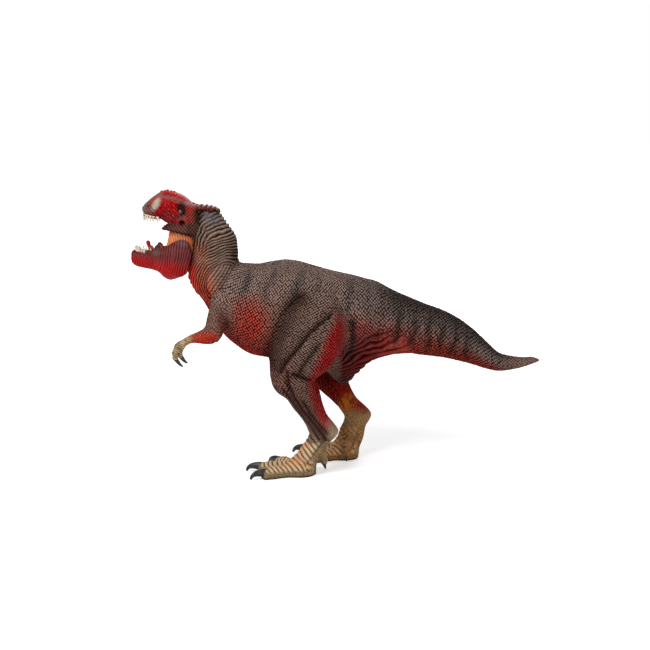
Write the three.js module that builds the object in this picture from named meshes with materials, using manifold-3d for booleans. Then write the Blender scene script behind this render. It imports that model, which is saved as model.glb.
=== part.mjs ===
// Toy dinosaur figure: a walking two-legged hunter in painted solid vinyl, mouth wide open,
// whose lower jaw turns on a pin. Millimetres, +Z up, head towards -X, its left side towards -Y,
// standing on Z = 0 with the middle of its outline at X = Y = 0.
import * as THREE from 'three';
import { mergeVertices } from 'three/addons/utils/BufferGeometryUtils.js';
import Module from 'manifold-3d';

const wasm = await Module();
wasm.setup();

// Trunk and tail
const torsoLength = 74.2;
const torsoDepth = 50;
const torsoWidth = 38;
const tailLength = 81.4;

// Neck
const neckLength = 34;
const neckDepth = 32.9;
const neckWidth = 21;

// Head
const skullLength = 28.5;
const skullHeight = 20.6;
const skullWidth = 16;
const crownFlapLength = 11.5;
const crownFlapThickness = 1.8;
const eyeRadius = 1.7;

// Lower jaw and its hinge
const jawLength = 24.2;
const jawDepth = 21.5;
const jawWidth = 16.8;
const jawWall = 2.3;
const jawClosingDegrees = 33;
const hingeBlockWidth = 9.2;
const hingeBlockRadius = 5.2;
const hingePinRadius = 1.1;
const hingePinBite = 2.2;
const tongueWidth = 4.6;
const tongueThickness = 2.2;

// Teeth
const upperToothLength = 3.4;
const lowerToothLength = 3;
const toothRadius = 0.75;
const toothStripWidth = 1.1;
const toothStripHeight = 1.6;

// Legs
const thighLength = 33;
const thighDepth = 34;
const thighWidth = 22;
const shinLength = 27.5;
const calfDepth = 18.5;
const calfWidth = 14.4;
const metatarsusLength = 16.9;
const ankleDepth = 14;
const ankleWidth = 11;
const legSpread = 18.4;
const farLegSpread = 13.6;

// Feet
const ballHeight = 7;
const toeLength = 23.5;
const toeWidth = 7.2;
const toeHeight = 6.6;
const toeClawLength = 7.6;
const toeClawRadius = 2.2;
const halluxLength = 10;
const halluxWidth = 5.2;
const halluxClawLength = 5;
const halluxClawRadius = 1.5;

// Arms
const upperArmLength = 14.6;
const forearmLength = 11.4;
const palmLength = 8.6;
const fingerLength = 4.6;
const armWidth = 8.4;
const handClawLength = 6;
const handClawRadius = 1.1;

// Seams between the castings
const seamClearance = 0.3;
const runningClearance = 0.4;
const trunkPegRadius = 5;
const trunkPegLength = 9;
const hipPegRadius = 4.4;
const hipPegLength = 8;
const anklePegRadius = 2.6;
const anklePegLength = 6;
const shoulderPegRadius = 2.2;
const shoulderPegLength = 5;
const clawRootLength = 2.4;
const overrun = 1;

// Fineness of the skins
const trunkSides = 24;
const limbSides = 16;
const toeSides = 10;
const clawSides = 6;

// Closed skins over rings

function smoothRows(rows, steps) {
  const smooth = [];
  for (let row = 0; row < rows.length - 1; row += 1) {
    const before = rows[Math.max(row - 1, 0)];
    const after = rows[Math.min(row + 2, rows.length - 1)];
    for (let step = 0; step < steps; step += 1) {
      const t = step / steps;
      smooth.push(rows[row].map((value, column) => {
        const next = rows[row + 1][column];
        const slopeIn = (next - before[column]) / 2;
        const slopeOut = (after[column] - value) / 2;
        const bend = (2 * t ** 3 - 3 * t ** 2 + 1) * value + (t ** 3 - 2 * t ** 2 + t) * slopeIn;
        return bend + (3 * t ** 2 - 2 * t ** 3) * next + (t ** 3 - t ** 2) * slopeOut;
      }));
    }
  }
  smooth.push(rows[rows.length - 1]);
  return smooth;
}

function ring(at, lean, deep, wide, keel = 0, roundness = 1) {
  return { at, lean, deep, wide, keel, roundness };
}

function turnOut(geometry) {
  const points = geometry.getAttribute('position');
  const order = geometry.getIndex().array;
  const corner = [new THREE.Vector3(), new THREE.Vector3(), new THREE.Vector3()];
  let volume = 0;
  for (let start = 0; start < order.length; start += 3) {
    corner.forEach((vector, place) => vector.fromBufferAttribute(points, order[start + place]));
    volume += corner[0].dot(corner[1].clone().cross(corner[2]));
  }
  if (volume < 0) {
    geometry.setIndex(Array.from(order).reverse());
  }
  return geometry;
}

// Muscles swell a skin sideways, on both sides or on one, and fade out around their middle
function swelling(x, z, out, muscles) {
  return muscles.reduce((sum, muscle) => {
    const turn = THREE.MathUtils.degToRad(muscle.turn);
    const ahead = x - muscle.x;
    const above = z - muscle.z;
    const forward = (ahead * Math.cos(turn) + above * Math.sin(turn)) / muscle.long;
    const upward = (above * Math.cos(turn) - ahead * Math.sin(turn)) / muscle.high;
    const shown = muscle.side * out < 0 ? 0 : 1;
    return sum + shown * muscle.swell * Math.exp(-(forward ** 2) - upward ** 2);
  }, 0);
}

function skin(rings, sides, grow = 0, muscles = []) {
  const places = [];
  const order = [];
  const last = rings.length - 1;
  const centres = rings.map((each) => each.at.clone());
  if (grow > 0) {
    centres[0].add(rings[0].at.clone().sub(rings[1].at).setLength(grow));
    centres[last].add(rings[last].at.clone().sub(rings[last - 1].at).setLength(grow));
  }
  rings.forEach((each, row) => {
    const lean = THREE.MathUtils.degToRad(each.lean);
    for (let side = 0; side < sides; side += 1) {
      const angle = (side / sides) * 2 * Math.PI;
      const up = Math.sign(Math.sin(angle)) * Math.abs(Math.sin(angle)) ** each.roundness;
      const out = Math.sign(Math.cos(angle)) * Math.abs(Math.cos(angle)) ** each.roundness;
      const rise = (each.deep + grow) * up;
      const reach = (each.wide + grow) * out * (1 - each.keel * up);
      const centre = centres[row];
      const x = centre.x + rise * Math.sin(lean);
      const z = centre.z + rise * Math.cos(lean);
      places.push(x, centre.y + reach + out * swelling(x, z, out, muscles), z);
    }
  });
  const firstCap = rings.length * sides;
  places.push(...centres[0].toArray(), ...centres[last].toArray());
  for (let side = 0; side < sides; side += 1) {
    const next = (side + 1) % sides;
    for (let row = 0; row < last; row += 1) {
      const low = row * sides;
      const high = low + sides;
      order.push(low + side, low + next, high + next, low + side, high + next, high + side);
    }
    order.push(firstCap, next, side);
    order.push(firstCap + 1, last * sides + side, last * sides + next);
  }
  const geometry = new THREE.BufferGeometry();
  geometry.setAttribute('position', new THREE.Float32BufferAttribute(places, 3));
  geometry.setIndex(order);
  return turnOut(geometry);
}

// Solids, joined and cut

function solidOf(geometry) {
  const bare = geometry.clone();
  bare.deleteAttribute('normal');
  bare.deleteAttribute('uv');
  const merged = mergeVertices(bare);
  return new wasm.Manifold(new wasm.Mesh({
    numProp: 3,
    vertProperties: new Float32Array(merged.getAttribute('position').array),
    triVerts: new Uint32Array(merged.getIndex().array),
  }));
}

function join(solids) {
  return solids.reduce((whole, solid) => whole.add(solid));
}

function cut(solid, tools) {
  return tools.reduce((left, tool) => left.subtract(tool), solid);
}

function mainBody(solid) {
  return solid.decompose().sort((one, other) => other.volume() - one.volume())[0];
}

function placed(geometry, at, turn = new THREE.Euler()) {
  const quaternion = new THREE.Quaternion().setFromEuler(turn);
  geometry.applyMatrix4(new THREE.Matrix4().compose(at, quaternion, new THREE.Vector3(1, 1, 1)));
  return geometry;
}

// A keyed peg: a round pin with one flat, from a point along a direction
function peg(radius, length, at, along, grow = 0) {
  const outline = new THREE.Shape();
  const flatAngle = Math.PI / 5;
  outline.absarc(0, 0, radius + grow, flatAngle, 2 * Math.PI - flatAngle, false);
  const geometry = new THREE.ExtrudeGeometry(outline, {
    depth: length + grow + overrun,
    bevelEnabled: false,
    curveSegments: 14,
  });
  geometry.translate(0, 0, -overrun);
  geometry.applyQuaternion(new THREE.Quaternion().setFromUnitVectors(new THREE.Vector3(0, 0, 1), along));
  geometry.translate(at.x, at.y, at.z);
  return solidOf(geometry);
}

// Colours of the castings
const paint = (colour, roughness) => new THREE.MeshStandardMaterial({ color: colour, roughness, metalness: 0 });
const backPaint = paint(0x4f3a33, 0.8);
const tailPaint = paint(0x4b3833, 0.8);
const neckPaint = paint(0x453430, 0.8);
const facePaint = paint(0x8f1f1f, 0.65);
const jawPaint = paint(0xa3201e, 0.6);
const liningPaint = paint(0xd9844a, 0.6);
const tonguePaint = paint(0x9c1414, 0.4);
const toothPaint = paint(0xe8dcc6, 0.45);
const eyePaint = paint(0xb01818, 0.2);
const legPaint = paint(0x57402f, 0.8);
const footPaint = paint(0x9a8560, 0.75);
const clawPaint = paint(0x26272a, 0.35);
const pinSteel = new THREE.MeshStandardMaterial({ color: 0x9a9da0, roughness: 0.35, metalness: 1 });

const figure = new THREE.Group();

function addPiece(name, solid, material) {
  const body = mainBody(solid).getMesh();
  const geometry = new THREE.BufferGeometry();
  geometry.setAttribute('position', new THREE.BufferAttribute(new Float32Array(body.vertProperties), 3));
  geometry.setIndex(new THREE.BufferAttribute(new Uint32Array(body.triVerts), 1));
  geometry.computeVertexNormals();
  const mesh = new THREE.Mesh(geometry, material);
  mesh.name = name;
  figure.add(mesh);
}

// Stance: how far each bone of the legs swings forward of straight down.
// The far shin makes up the height that the near leg gives the hip.
const thighSwing = { left: 15.9, right: -7 };
const metatarsusSwing = { left: 27.5, right: 12 };
const nearShinSwing = -27.8;
const degrees = THREE.MathUtils.degToRad;
const hipHeight = ballHeight + thighLength * Math.cos(degrees(thighSwing.left))
  + shinLength * Math.cos(degrees(nearShinSwing))
  + metatarsusLength * Math.cos(degrees(metatarsusSwing.left));

function shinSwing(side) {
  const rest = hipHeight - ballHeight - thighLength * Math.cos(degrees(thighSwing[side]))
    - metatarsusLength * Math.cos(degrees(metatarsusSwing[side]));
  return side === 'left' ? nearShinSwing : -THREE.MathUtils.radToDeg(Math.acos(Math.min(rest / shinLength, 1)));
}

// The body's sections are a little squarer than an ellipse
const bodyRoundnessShare = 0.93;

// Trunk: rings from the neck seam to the tail seam as
// along from the hip, rise over the hip, depth, width, lean in degrees, narrowing of the top
const torsoRingShares = [
  [-0.5825, 0.214, 0.64, 0.605, 23, 0],
  [-0.529, 0.145, 0.752, 0.763, 19.4, 0.05],
  [-0.458, 0.093, 0.84, 0.895, 16.6, 0.1],
  [-0.367, 0.056, 0.944, 0.974, 12.9, 0.12],
  [-0.263, 0.048, 0.992, 1, 10.4, 0.12],
  [-0.155, 0.032, 0.988, 0.974, 8, 0.08],
  [-0.04, -0.005, 0.972, 0.92, 4.7, 0],
  [0.077, -0.072, 1.016, 0.868, 1.7, -0.12],
  [0.182, -0.165, 1.14, 0.79, -1, -0.22],
  [0.266, -0.128, 1.016, 0.737, -1.7, -0.18],
  [0.34, -0.098, 0.888, 0.695, 0, -0.08],
  [0.4175, -0.075, 0.78, 0.653, 0, 0],
];
const torsoRings = smoothRows(torsoRingShares, 2).map(([along, rise, deep, wide, lean, keel]) => ring(
  new THREE.Vector3(along * torsoLength, 0, hipHeight + rise * torsoDepth),
  lean,
  (deep * torsoDepth) / 2,
  (wide * torsoWidth) / 2,
  keel,
  bodyRoundnessShare,
));
const neckSeam = torsoRings[0];
const tailSeam = torsoRings[torsoRings.length - 1];

// Muscles of the trunk and neck on both flanks: shoulder, upper back, low ribs, ribs, croup, nape and
// throat, as along from the hip, rise over it, length, height, turn in degrees and swell
const trunkMuscleShares = [
  [-0.445, 0.359, 0.175, 0.2, 0, 0.026],
  [-0.121, 0.379, 0.202, 0.16, 0, 0.129],
  [-0.323, -0.241, 0.135, 0.24, 0, 0.066],
  [-0.35, 0.059, 0.162, 0.18, 0, 0.027],
  [0.229, 0.259, 0.175, 0.16, 0, 0.082],
  [-0.633, 0.619, 0.074, 0.2, -28, 0.071],
  [-0.755, 0.359, 0.067, 0.18, -22, 0.047],
];
const trunkMuscles = trunkMuscleShares.map(([along, rise, long, high, turn, swell]) => ({
  x: along * torsoLength,
  z: hipHeight + rise * torsoDepth,
  long: long * torsoLength,
  high: high * torsoDepth,
  turn,
  swell: swell * torsoWidth,
  side: 0,
}));
const torsoSkin = (grow) => solidOf(skin(torsoRings, trunkSides, grow, trunkMuscles));
const neckOutward = new THREE.Vector3(-Math.cos(degrees(neckSeam.lean)), 0, Math.sin(degrees(neckSeam.lean)));
const neckInward = neckOutward.clone().negate();
const tailInward = new THREE.Vector3(-1, 0, 0);

// Tail: rings as along, rise, and depth and width as shares of the seam's
const tailRingShares = [
  [0, 0, 1, 1],
  [0.098, -0.0135, 0.838, 0.927],
  [0.197, -0.0313, 0.733, 0.847],
  [0.295, -0.057, 0.672, 0.774],
  [0.393, -0.0805, 0.62, 0.694],
  [0.491, -0.1155, 0.5615, 0.613],
  [0.59, -0.164, 0.467, 0.516],
  [0.676, -0.218, 0.354, 0.427],
  [0.749, -0.2586, 0.246, 0.347],
  [0.823, -0.266, 0.185, 0.282],
  [0.897, -0.262, 0.133, 0.218],
  [0.958, -0.251, 0.092, 0.153],
  [1, -0.25, 0.03, 0.05],
];
const tailStart = tailSeam.at.clone().addScaledVector(tailInward, -seamClearance);
const tailRings = smoothRows(tailRingShares, 2).map(([along, rise, deep, wide]) => ring(
  tailStart.clone().add(new THREE.Vector3(along * tailLength, 0, rise * tailLength)),
  0,
  deep * tailSeam.deep,
  wide * tailSeam.wide,
  0,
  bodyRoundnessShare,
));
const tailPegAt = tailStart.clone();

// Neck: rings as forward, rise, depth, width and lean; the first is the trunk's own seam
const neckRingShares = [
  [0.066, 0.113, 0.866, 1, 30.8],
  [0.129, 0.288, 0.909, 0.933, 39.7],
  [0.212, 0.468, 1, 0.895, 46.1],
  [0.262, 0.62, 0.95, 0.857, 44],
  [0.3, 0.76, 0.86, 0.82, 39],
  [0.335, 0.93, 0.72, 0.762, 30],
  [0.43, 1.006, 0.46, 0.65, 8],
];
const neckStart = neckSeam.at.clone().addScaledVector(neckOutward, seamClearance);
const neckRings = [ring(neckStart, neckSeam.lean, neckSeam.deep, neckSeam.wide, 0, bodyRoundnessShare)];
smoothRows(neckRingShares, 2).forEach(([forward, rise, deep, wide, lean]) => neckRings.push(ring(
  neckStart.clone().add(new THREE.Vector3(-forward * neckLength, 0, rise * neckLength)),
  lean,
  (deep * neckDepth) / 2,
  (wide * neckWidth) / 2,
  0,
  bodyRoundnessShare,
)));
const neckEnd = neckRings[neckRings.length - 1].at;
const skullSeat = neckEnd.clone().add(new THREE.Vector3(0.057 * skullLength, 0, 0));
const neckSkin = (grow) => solidOf(skin(neckRings, trunkSides, grow, trunkMuscles));

// Skull: rings as forward of the neck's end, rise, depth, width and narrowing of the top
const skullRingShares = [
  [0.05, 0.012, 0.762, 0.975, 0.1],
  [0.158, 0.0825, 0.854, 1, 0.12],
  [0.263, 0.177, 0.917, 1, 0.15],
  [0.386, 0.24, 0.956, 0.95, 0.15],
  [0.509, 0.284, 0.937, 0.86, 0.12],
  [0.614, 0.315, 0.895, 0.78, 0.05],
  [0.68, 0.395, 0.7, 0.74, 0],
  [0.825, 0.36, 0.51, 0.7, 0],
  [0.895, 0.34, 0.4, 0.62, 0],
  [0.958, 0.33, 0.26, 0.47, 0],
  [0.993, 0.33, 0.13, 0.27, 0],
];
const skullRoundnessShare = 0.8;
const skullRings = smoothRows(skullRingShares, 2).map(([forward, rise, deep, wide, keel]) => ring(
  skullSeat.clone().add(new THREE.Vector3(-forward * skullLength, 0, rise * skullHeight)),
  0,
  (deep * skullHeight) / 2,
  (wide * skullWidth) / 2,
  keel,
  skullRoundnessShare,
));

// The back of the crown runs on over the nape as a thin flap
const flapRingShares = [
  [-0.35, -0.02, 0.5, 0.9],
  [0.1, 0, 1.1, 1],
  [0.55, -0.02, 0.9, 0.9],
  [0.88, -0.04, 0.6, 0.6],
  [1, -0.05, 0.25, 0.3],
];
const flapStart = skullSeat.clone().add(new THREE.Vector3(-0.06 * skullLength, 0, 0.345 * skullHeight));
const flapRings = flapRingShares.map(([back, rise, thick, wide]) => ring(
  flapStart.clone().add(new THREE.Vector3(back * crownFlapLength, 0, rise * crownFlapLength)),
  0,
  (thick * crownFlapThickness) / 2,
  wide * 0.36 * skullWidth,
));

// Hinge: the jaw turns about the middle of its round cheeks
const hinge = skullSeat.clone().add(new THREE.Vector3(-0.36 * skullLength, 0, -0.684 * skullHeight));

function swung(geometry, turnDegrees) {
  geometry.translate(-hinge.x, -hinge.y, -hinge.z);
  geometry.rotateY(degrees(turnDegrees));
  return geometry.translate(hinge.x, hinge.y, hinge.z);
}

// Lower jaw: rings as forward of the hinge, rise, depth and width
const jawRingShares = [
  [-0.244, -0.035, 0.116, 0.77],
  [-0.223, -0.016, 0.358, 0.87],
  [-0.165, -0.056, 0.688, 0.95],
  [-0.062, -0.107, 0.893, 1],
  [0.062, -0.151, 0.935, 1],
  [0.207, -0.214, 0.893, 0.975],
  [0.33, -0.223, 0.772, 0.91],
  [0.446, -0.158, 0.623, 0.82],
  [0.5785, -0.184, 0.47, 0.74],
  [0.723, -0.184, 0.405, 0.69],
  [0.868, -0.16, 0.377, 0.62],
  [0.963, -0.1256, 0.3256, 0.5],
  [0.996, -0.1256, 0.195, 0.35],
];
const jawRoundnessShare = 0.62;
const jawRings = jawRingShares.map(([forward, rise, deep, wide]) => ring(
  hinge.clone().add(new THREE.Vector3(-forward * jawLength, 0, rise * jawDepth)),
  0,
  (deep * jawDepth) / 2,
  (wide * jawWidth) / 2,
  0,
  jawRoundnessShare,
));
const jawSkin = (grow) => skin(jawRings, limbSides, grow);
const jawSweep = join([0, 0.33, 0.67, 1].map(
  (share) => solidOf(swung(jawSkin(runningClearance), share * jawClosingDegrees)),
));

// Hinge block and throat wall: one orange casting that plugs up into the skull
const blockOutlineShares = [
  [0.72, -0.05],
  [0.72, 0.3],
  [0.5, 0.72],
  [-0.42, 0.72],
  [-0.52, 0.45],
  [-0.72, 0.19],
  [-0.42, -0.08],
];

function blockSolid(grow) {
  const round = new THREE.CylinderGeometry(
    hingeBlockRadius + grow,
    hingeBlockRadius + grow,
    hingeBlockWidth + 2 * grow,
    limbSides + 2,
  );
  round.translate(hinge.x, hinge.y, hinge.z);
  const middle = blockOutlineShares.reduce(
    (sum, [x, z]) => [sum[0] + x / blockOutlineShares.length, sum[1] + z / blockOutlineShares.length],
    [0, 0],
  );
  const outline = new THREE.Shape(blockOutlineShares.map(([x, z]) => new THREE.Vector2(
    x * skullLength * 0.34 + Math.sign(x - middle[0]) * grow,
    z * skullHeight + Math.sign(z - middle[1]) * grow,
  )));
  const stem = new THREE.ExtrudeGeometry(outline, { depth: hingeBlockWidth + 2 * grow, bevelEnabled: false });
  stem.translate(0, 0, -hingeBlockWidth / 2 - grow);
  stem.rotateX(Math.PI / 2);
  stem.translate(hinge.x, hinge.y, hinge.z);
  return solidOf(round).add(solidOf(stem));
}

// Pin through both cheeks and the block
function pinSolid(grow) {
  const length = hingeBlockWidth + 2 * (seamClearance + hingePinBite + grow);
  const round = new THREE.CylinderGeometry(hingePinRadius + grow, hingePinRadius + grow, length, 16);
  return solidOf(round.translate(hinge.x, hinge.y, hinge.z));
}

// Teeth: a row of cones on a strip that follows the lip round the front
function toothRow(rear, reach, halfWidth, base, toothLength, pointing, count, grow = 0) {
  const place = (turn, offset) => {
    const c = Math.max(Math.cos(turn), 0) ** 0.62;
    const s = Math.sign(Math.sin(turn)) * Math.abs(Math.sin(turn)) ** 0.75;
    return new THREE.Vector2(rear - (reach + offset) * c, (halfWidth + offset) * s);
  };
  const steps = 16;
  const turns = Array.from({ length: steps + 1 }, (_, step) => (step / steps - 0.5) * Math.PI);
  const half = toothStripWidth / 2 + grow;
  const outside = turns.map((turn) => place(turn, half));
  const inside = turns.map((turn) => place(turn, -half)).reverse();
  const strip = new THREE.ExtrudeGeometry(new THREE.Shape([...outside, ...inside]), {
    depth: toothStripHeight + 2 * grow,
    bevelEnabled: false,
  });
  strip.translate(0, 0, base - toothStripHeight / 2 - grow);
  const row = [solidOf(strip)];
  for (let tooth = 0; tooth < count; tooth += 1) {
    const turn = ((tooth + 0.5) / count - 0.5) * Math.PI * 0.94;
    const spot = place(turn, 0);
    const span = toothLength + toothStripHeight / 2 + grow;
    const cone = new THREE.ConeGeometry(toothRadius + grow, span, 6);
    cone.rotateX(Math.PI / 2);
    cone.translate(0, 0, span / 2);
    if (pointing < 0) {
      cone.rotateX(Math.PI);
    }
    row.push(solidOf(cone.translate(spot.x, spot.y, base)));
  }
  return join(row);
}
const upperRowRear = skullSeat.x - 0.655 * skullLength;
const upperRowReach = 0.315 * skullLength;
const upperRowHalf = 0.325 * skullWidth;
const upperRowBase = skullSeat.z + 0.175 * skullHeight;
const upperTeeth = (grow) => toothRow(
  upperRowRear, upperRowReach, upperRowHalf, upperRowBase, upperToothLength, -1, 12, grow,
);
const lowerRowRear = hinge.x - 0.45 * jawLength;
const lowerRowReach = 0.47 * jawLength;
const lowerRowHalf = 0.225 * jawWidth;
const lowerRowBase = hinge.z - 0.035 * jawDepth;
const lowerTeeth = (grow) => toothRow(
  lowerRowRear, lowerRowReach, lowerRowHalf, lowerRowBase, lowerToothLength, 1, 12, grow,
);

// Claws: a curved horn along -X with a root that sits in its toe
const clawRowShares = [
  [0, 0.1, 1, 0.85],
  [0.3, 0.12, 0.96, 0.8],
  [0.6, -0.02, 0.7, 0.58],
  [0.85, -0.3, 0.4, 0.36],
  [1, -0.6, 0.12, 0.12],
];

function clawRings(length, radius) {
  const root = ring(new THREE.Vector3(clawRootLength, 0, 0), 0, 0.72 * radius, 0.62 * radius);
  const collar = ring(new THREE.Vector3(0, 0, 0), 0, 0.8 * radius, 0.7 * radius);
  const horn = clawRowShares.map(([along, drop, deep, wide]) => ring(
    new THREE.Vector3(-seamClearance - along * length, 0, drop * radius * 2),
    0,
    deep * radius,
    wide * radius,
  ));
  return [root, collar, ...horn];
}

function clawSolid(length, radius, at, yaw, pitch, grow = 0) {
  const geometry = skin(clawRings(length, radius), clawSides, grow);
  return solidOf(placed(geometry, at, new THREE.Euler(0, pitch, yaw, 'ZYX')));
}

// Legs: rings along each bone as share of the bone, forward offset, depth and width,
// and how far the ring leans from level towards square to its bone
const thighRowShares = [
  [-0.42, 0, 0.3, 0.42, 0.6],
  [-0.274, 0, 0.57, 0.64, 0.6],
  [-0.108, 0, 0.78, 0.82, 0.6],
  [0.052, 0, 0.917, 0.91, 0.6],
  [0.225, -0.015, 0.976, 0.98, 0.48],
  [0.404, -0.02, 0.995, 1, 0.33],
  [0.59, -0.01, 0.963, 0.96, 0.18],
  [0.743, 0.01, 0.877, 0.89, 0.13],
  [0.875, 0.022, 0.745, 0.8, -0.1],
  [0.985, 0.024, 0.58, 0.69, -0.4],
];
const shinRowShares = [
  [0.14, -0.01, 0.98, 0.98, 0.45],
  [0.318, 0.01, 0.88, 0.92, 0.4],
  [0.5, 0.027, 0.79, 0.83, 0.21],
  [0.67, 0.018, 0.74, 0.78, 0.07],
  [0.83, -0.015, 0.757, 0.76, 0.07],
  [0.985, -0.018, 0.81, 0.78, 0],
];
const metatarsusRowShares = [
  [0.15, -0.07, 0.98, 0.98, 0],
  [0.35, -0.028, 0.9, 0.96, 0],
];
const footRowShares = [
  [0.5, 0, 0.92, 0.98, 0],
  [0.72, 0, 0.95, 1.06, 0],
  [0.9, 0.05, 1.03, 1.22, 0],
  [1.15, 0.12, 1.12, 1.34, 0],
];

function legBones(side) {
  const lateral = side === 'left' ? -1 : 1;
  const spread = side === 'left' ? legSpread : farLegSpread;
  const drop = (from, length, swing, y) => new THREE.Vector3(
    from.x - length * Math.sin(degrees(swing)),
    y,
    from.z - length * Math.cos(degrees(swing)),
  );
  const hip = new THREE.Vector3(0, lateral * 0.39 * torsoWidth, hipHeight);
  const knee = drop(hip, thighLength, thighSwing[side], lateral * (0.7 * spread + 0.12 * torsoWidth));
  const ankle = drop(knee, shinLength, shinSwing(side), lateral * spread);
  const ball = drop(ankle, metatarsusLength, metatarsusSwing[side], lateral * spread);
  return { lateral, hip, knee, ankle, ball };
}

function boneRings(from, to, rows, depth, width) {
  const bone = to.clone().sub(from);
  const length = bone.length();
  const swing = THREE.MathUtils.radToDeg(Math.atan2(-bone.x, -bone.z));
  return rows.map(([share, offset, deep, wide, square]) => {
    const at = from.clone().addScaledVector(bone, share);
    at.x -= offset * length;
    return ring(at, square * swing - 90, (deep * depth) / 2, (wide * width) / 2, 0, bodyRoundnessShare);
  });
}

// Muscles on the outer side of the thigh and over the knee: down the thigh, behind its bone,
// length, height, turn in degrees and swell
const legMuscleShares = [
  [0.106, 0.18, 0.26, 0.4, -25, 0.09],
  [1, -0.22, 0.2, 0.2, 0, 0.11],
];

function legMuscles(bones) {
  return legMuscleShares.map(([down, behind, long, high, turn, swell]) => ({
    x: bones.hip.x + down * (bones.knee.x - bones.hip.x) + behind * thighLength,
    z: bones.hip.z + down * (bones.knee.z - bones.hip.z),
    long: long * thighDepth,
    high: high * thighLength,
    turn,
    swell: swell * thighWidth,
    side: bones.lateral,
  }));
}

function legRings(bones) {
  return [
    ...boneRings(bones.hip, bones.knee, thighRowShares, thighDepth, thighWidth),
    ...boneRings(bones.knee, bones.ankle, shinRowShares, calfDepth, calfWidth),
    ...boneRings(bones.ankle, bones.ball, metatarsusRowShares, ankleDepth, ankleWidth),
  ];
}

// Feet: how far each toe turns outwards, from the outer toe to the inner one, then its length
const toeTurns = { left: [24, -8, -45], right: [41, 17, -30] };
const toeLengthShares = [1, 1.02, 0.9];
const toeRowShares = [
  [-0.14, 0.9, 0.7],
  [0.15, 1.05, 1],
  [0.45, 0.95, 0.98],
  [0.75, 0.9, 1],
  [0.93, 0.8, 0.94],
  [1, 0.62, 0.72],
];

function toeSolid(ball, turn, length) {
  const rings = toeRowShares.map(([along, high, wide]) => ring(
    new THREE.Vector3(-along * length, 0, 0.42 * high * toeHeight),
    0,
    0.58 * high * toeHeight,
    (wide * toeWidth) / 2,
  ));
  return solidOf(placed(skin(rings, toeSides), new THREE.Vector3(ball.x, ball.y, 0), new THREE.Euler(0, 0, turn)));
}

const halluxRowShares = [
  [0, 0.2, 1.15],
  [0.35, 0.1, 1],
  [0.7, -0.22, 1],
  [0.95, -0.6, 0.85],
  [1.02, -0.75, 0.5],
];
const halluxTurns = { left: 130, right: 78 };

function halluxRings(side, bones) {
  const start = new THREE.Vector3().lerpVectors(bones.ankle, bones.ball, 0.72);
  const turn = degrees(halluxTurns[side]);
  return halluxRowShares.map(([along, rise, wide]) => ring(
    start.clone().add(new THREE.Vector3(
      -Math.cos(turn) * along * halluxLength,
      -bones.lateral * Math.sin(turn) * along * halluxLength,
      rise * halluxLength,
    )),
    -90,
    (wide * halluxWidth) / 2,
    (wide * halluxWidth) / 2,
  ));
}

function floorSlab() {
  const reach = 4 * (thighLength + shinLength + toeLength);
  const slab = new THREE.BoxGeometry(reach, reach, ballHeight);
  return solidOf(slab.translate(0, 0, -ballHeight / 2));
}

function buildLeg(side) {
  const bones = legBones(side);
  const rings = legRings(bones);
  const seam = rings[rings.length - 1];
  const inward = new THREE.Vector3(0, -bones.lateral, 0);
  const pegStart = new THREE.Vector3(0, bones.lateral * 0.42 * torsoWidth, hipHeight);
  const anklePegAt = seam.at.clone();
  anklePegAt.z -= seamClearance;
  const up = bones.ankle.clone().sub(bones.ball).normalize();
  const leg = join([
    cut(solidOf(skin(rings, limbSides, 0, legMuscles(bones))), [torsoSkin(seamClearance)]),
    peg(hipPegRadius, hipPegLength, pegStart, inward),
  ]);
  addPiece(`${side}_leg`, cut(leg, [peg(anklePegRadius, anklePegLength, anklePegAt, up, seamClearance)]), legPaint);

  const footRings = [ring(anklePegAt, seam.lean, seam.deep, seam.wide, 0, bodyRoundnessShare)];
  footRings.push(...boneRings(bones.ankle, bones.ball, footRowShares, ankleDepth, ankleWidth));
  const sole = footRings[footRings.length - 1];
  const underSole = new THREE.Vector3(sole.at.x, sole.at.y, -overrun);
  footRings.push(ring(underSole, sole.lean, sole.deep, sole.wide, 0, bodyRoundnessShare));
  const heel = new THREE.Vector3(bones.ball.x, bones.ball.y, 0);
  const toes = [];
  const claws = [];
  const sockets = [];
  toeTurns[side].forEach((turnDegrees, toe) => {
    const turn = -bones.lateral * degrees(turnDegrees);
    const length = toeLength * toeLengthShares[toe];
    toes.push(toeSolid(bones.ball, turn, length));
    const tip = heel.clone().add(new THREE.Vector3(-length * Math.cos(turn), -length * Math.sin(turn), 0.46 * toeHeight));
    claws.push([toeClawLength, toeClawRadius, tip, turn, 0]);
  });
  const hallux = halluxRings(side, bones);
  const halluxTip = hallux[hallux.length - 2].at.clone();
  halluxTip.z -= 0.42 * halluxWidth;
  claws.push([halluxClawLength, halluxClawRadius, halluxTip, bones.lateral * degrees(halluxTurns[side]), degrees(-62)]);
  claws.forEach(([length, radius, at, yaw, pitch]) => {
    sockets.push(clawSolid(length, radius, at, yaw, pitch, seamClearance));
  });
  const foot = join([
    solidOf(skin(footRings, limbSides)),
    ...toes,
    solidOf(skin(hallux, toeSides)),
    peg(anklePegRadius, anklePegLength, anklePegAt, up),
  ]);
  addPiece(`${side}_foot`, cut(foot, [floorSlab(), ...sockets]), footPaint);
  claws.forEach(([length, radius, at, yaw, pitch], number) => {
    const claw = cut(clawSolid(length, radius, at, yaw, pitch), [floorSlab()]);
    addPiece(`${side}_foot_claw_${number + 1}`, claw, clawPaint);
  });
  return peg(hipPegRadius, hipPegLength, pegStart, inward, seamClearance);
}

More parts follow.
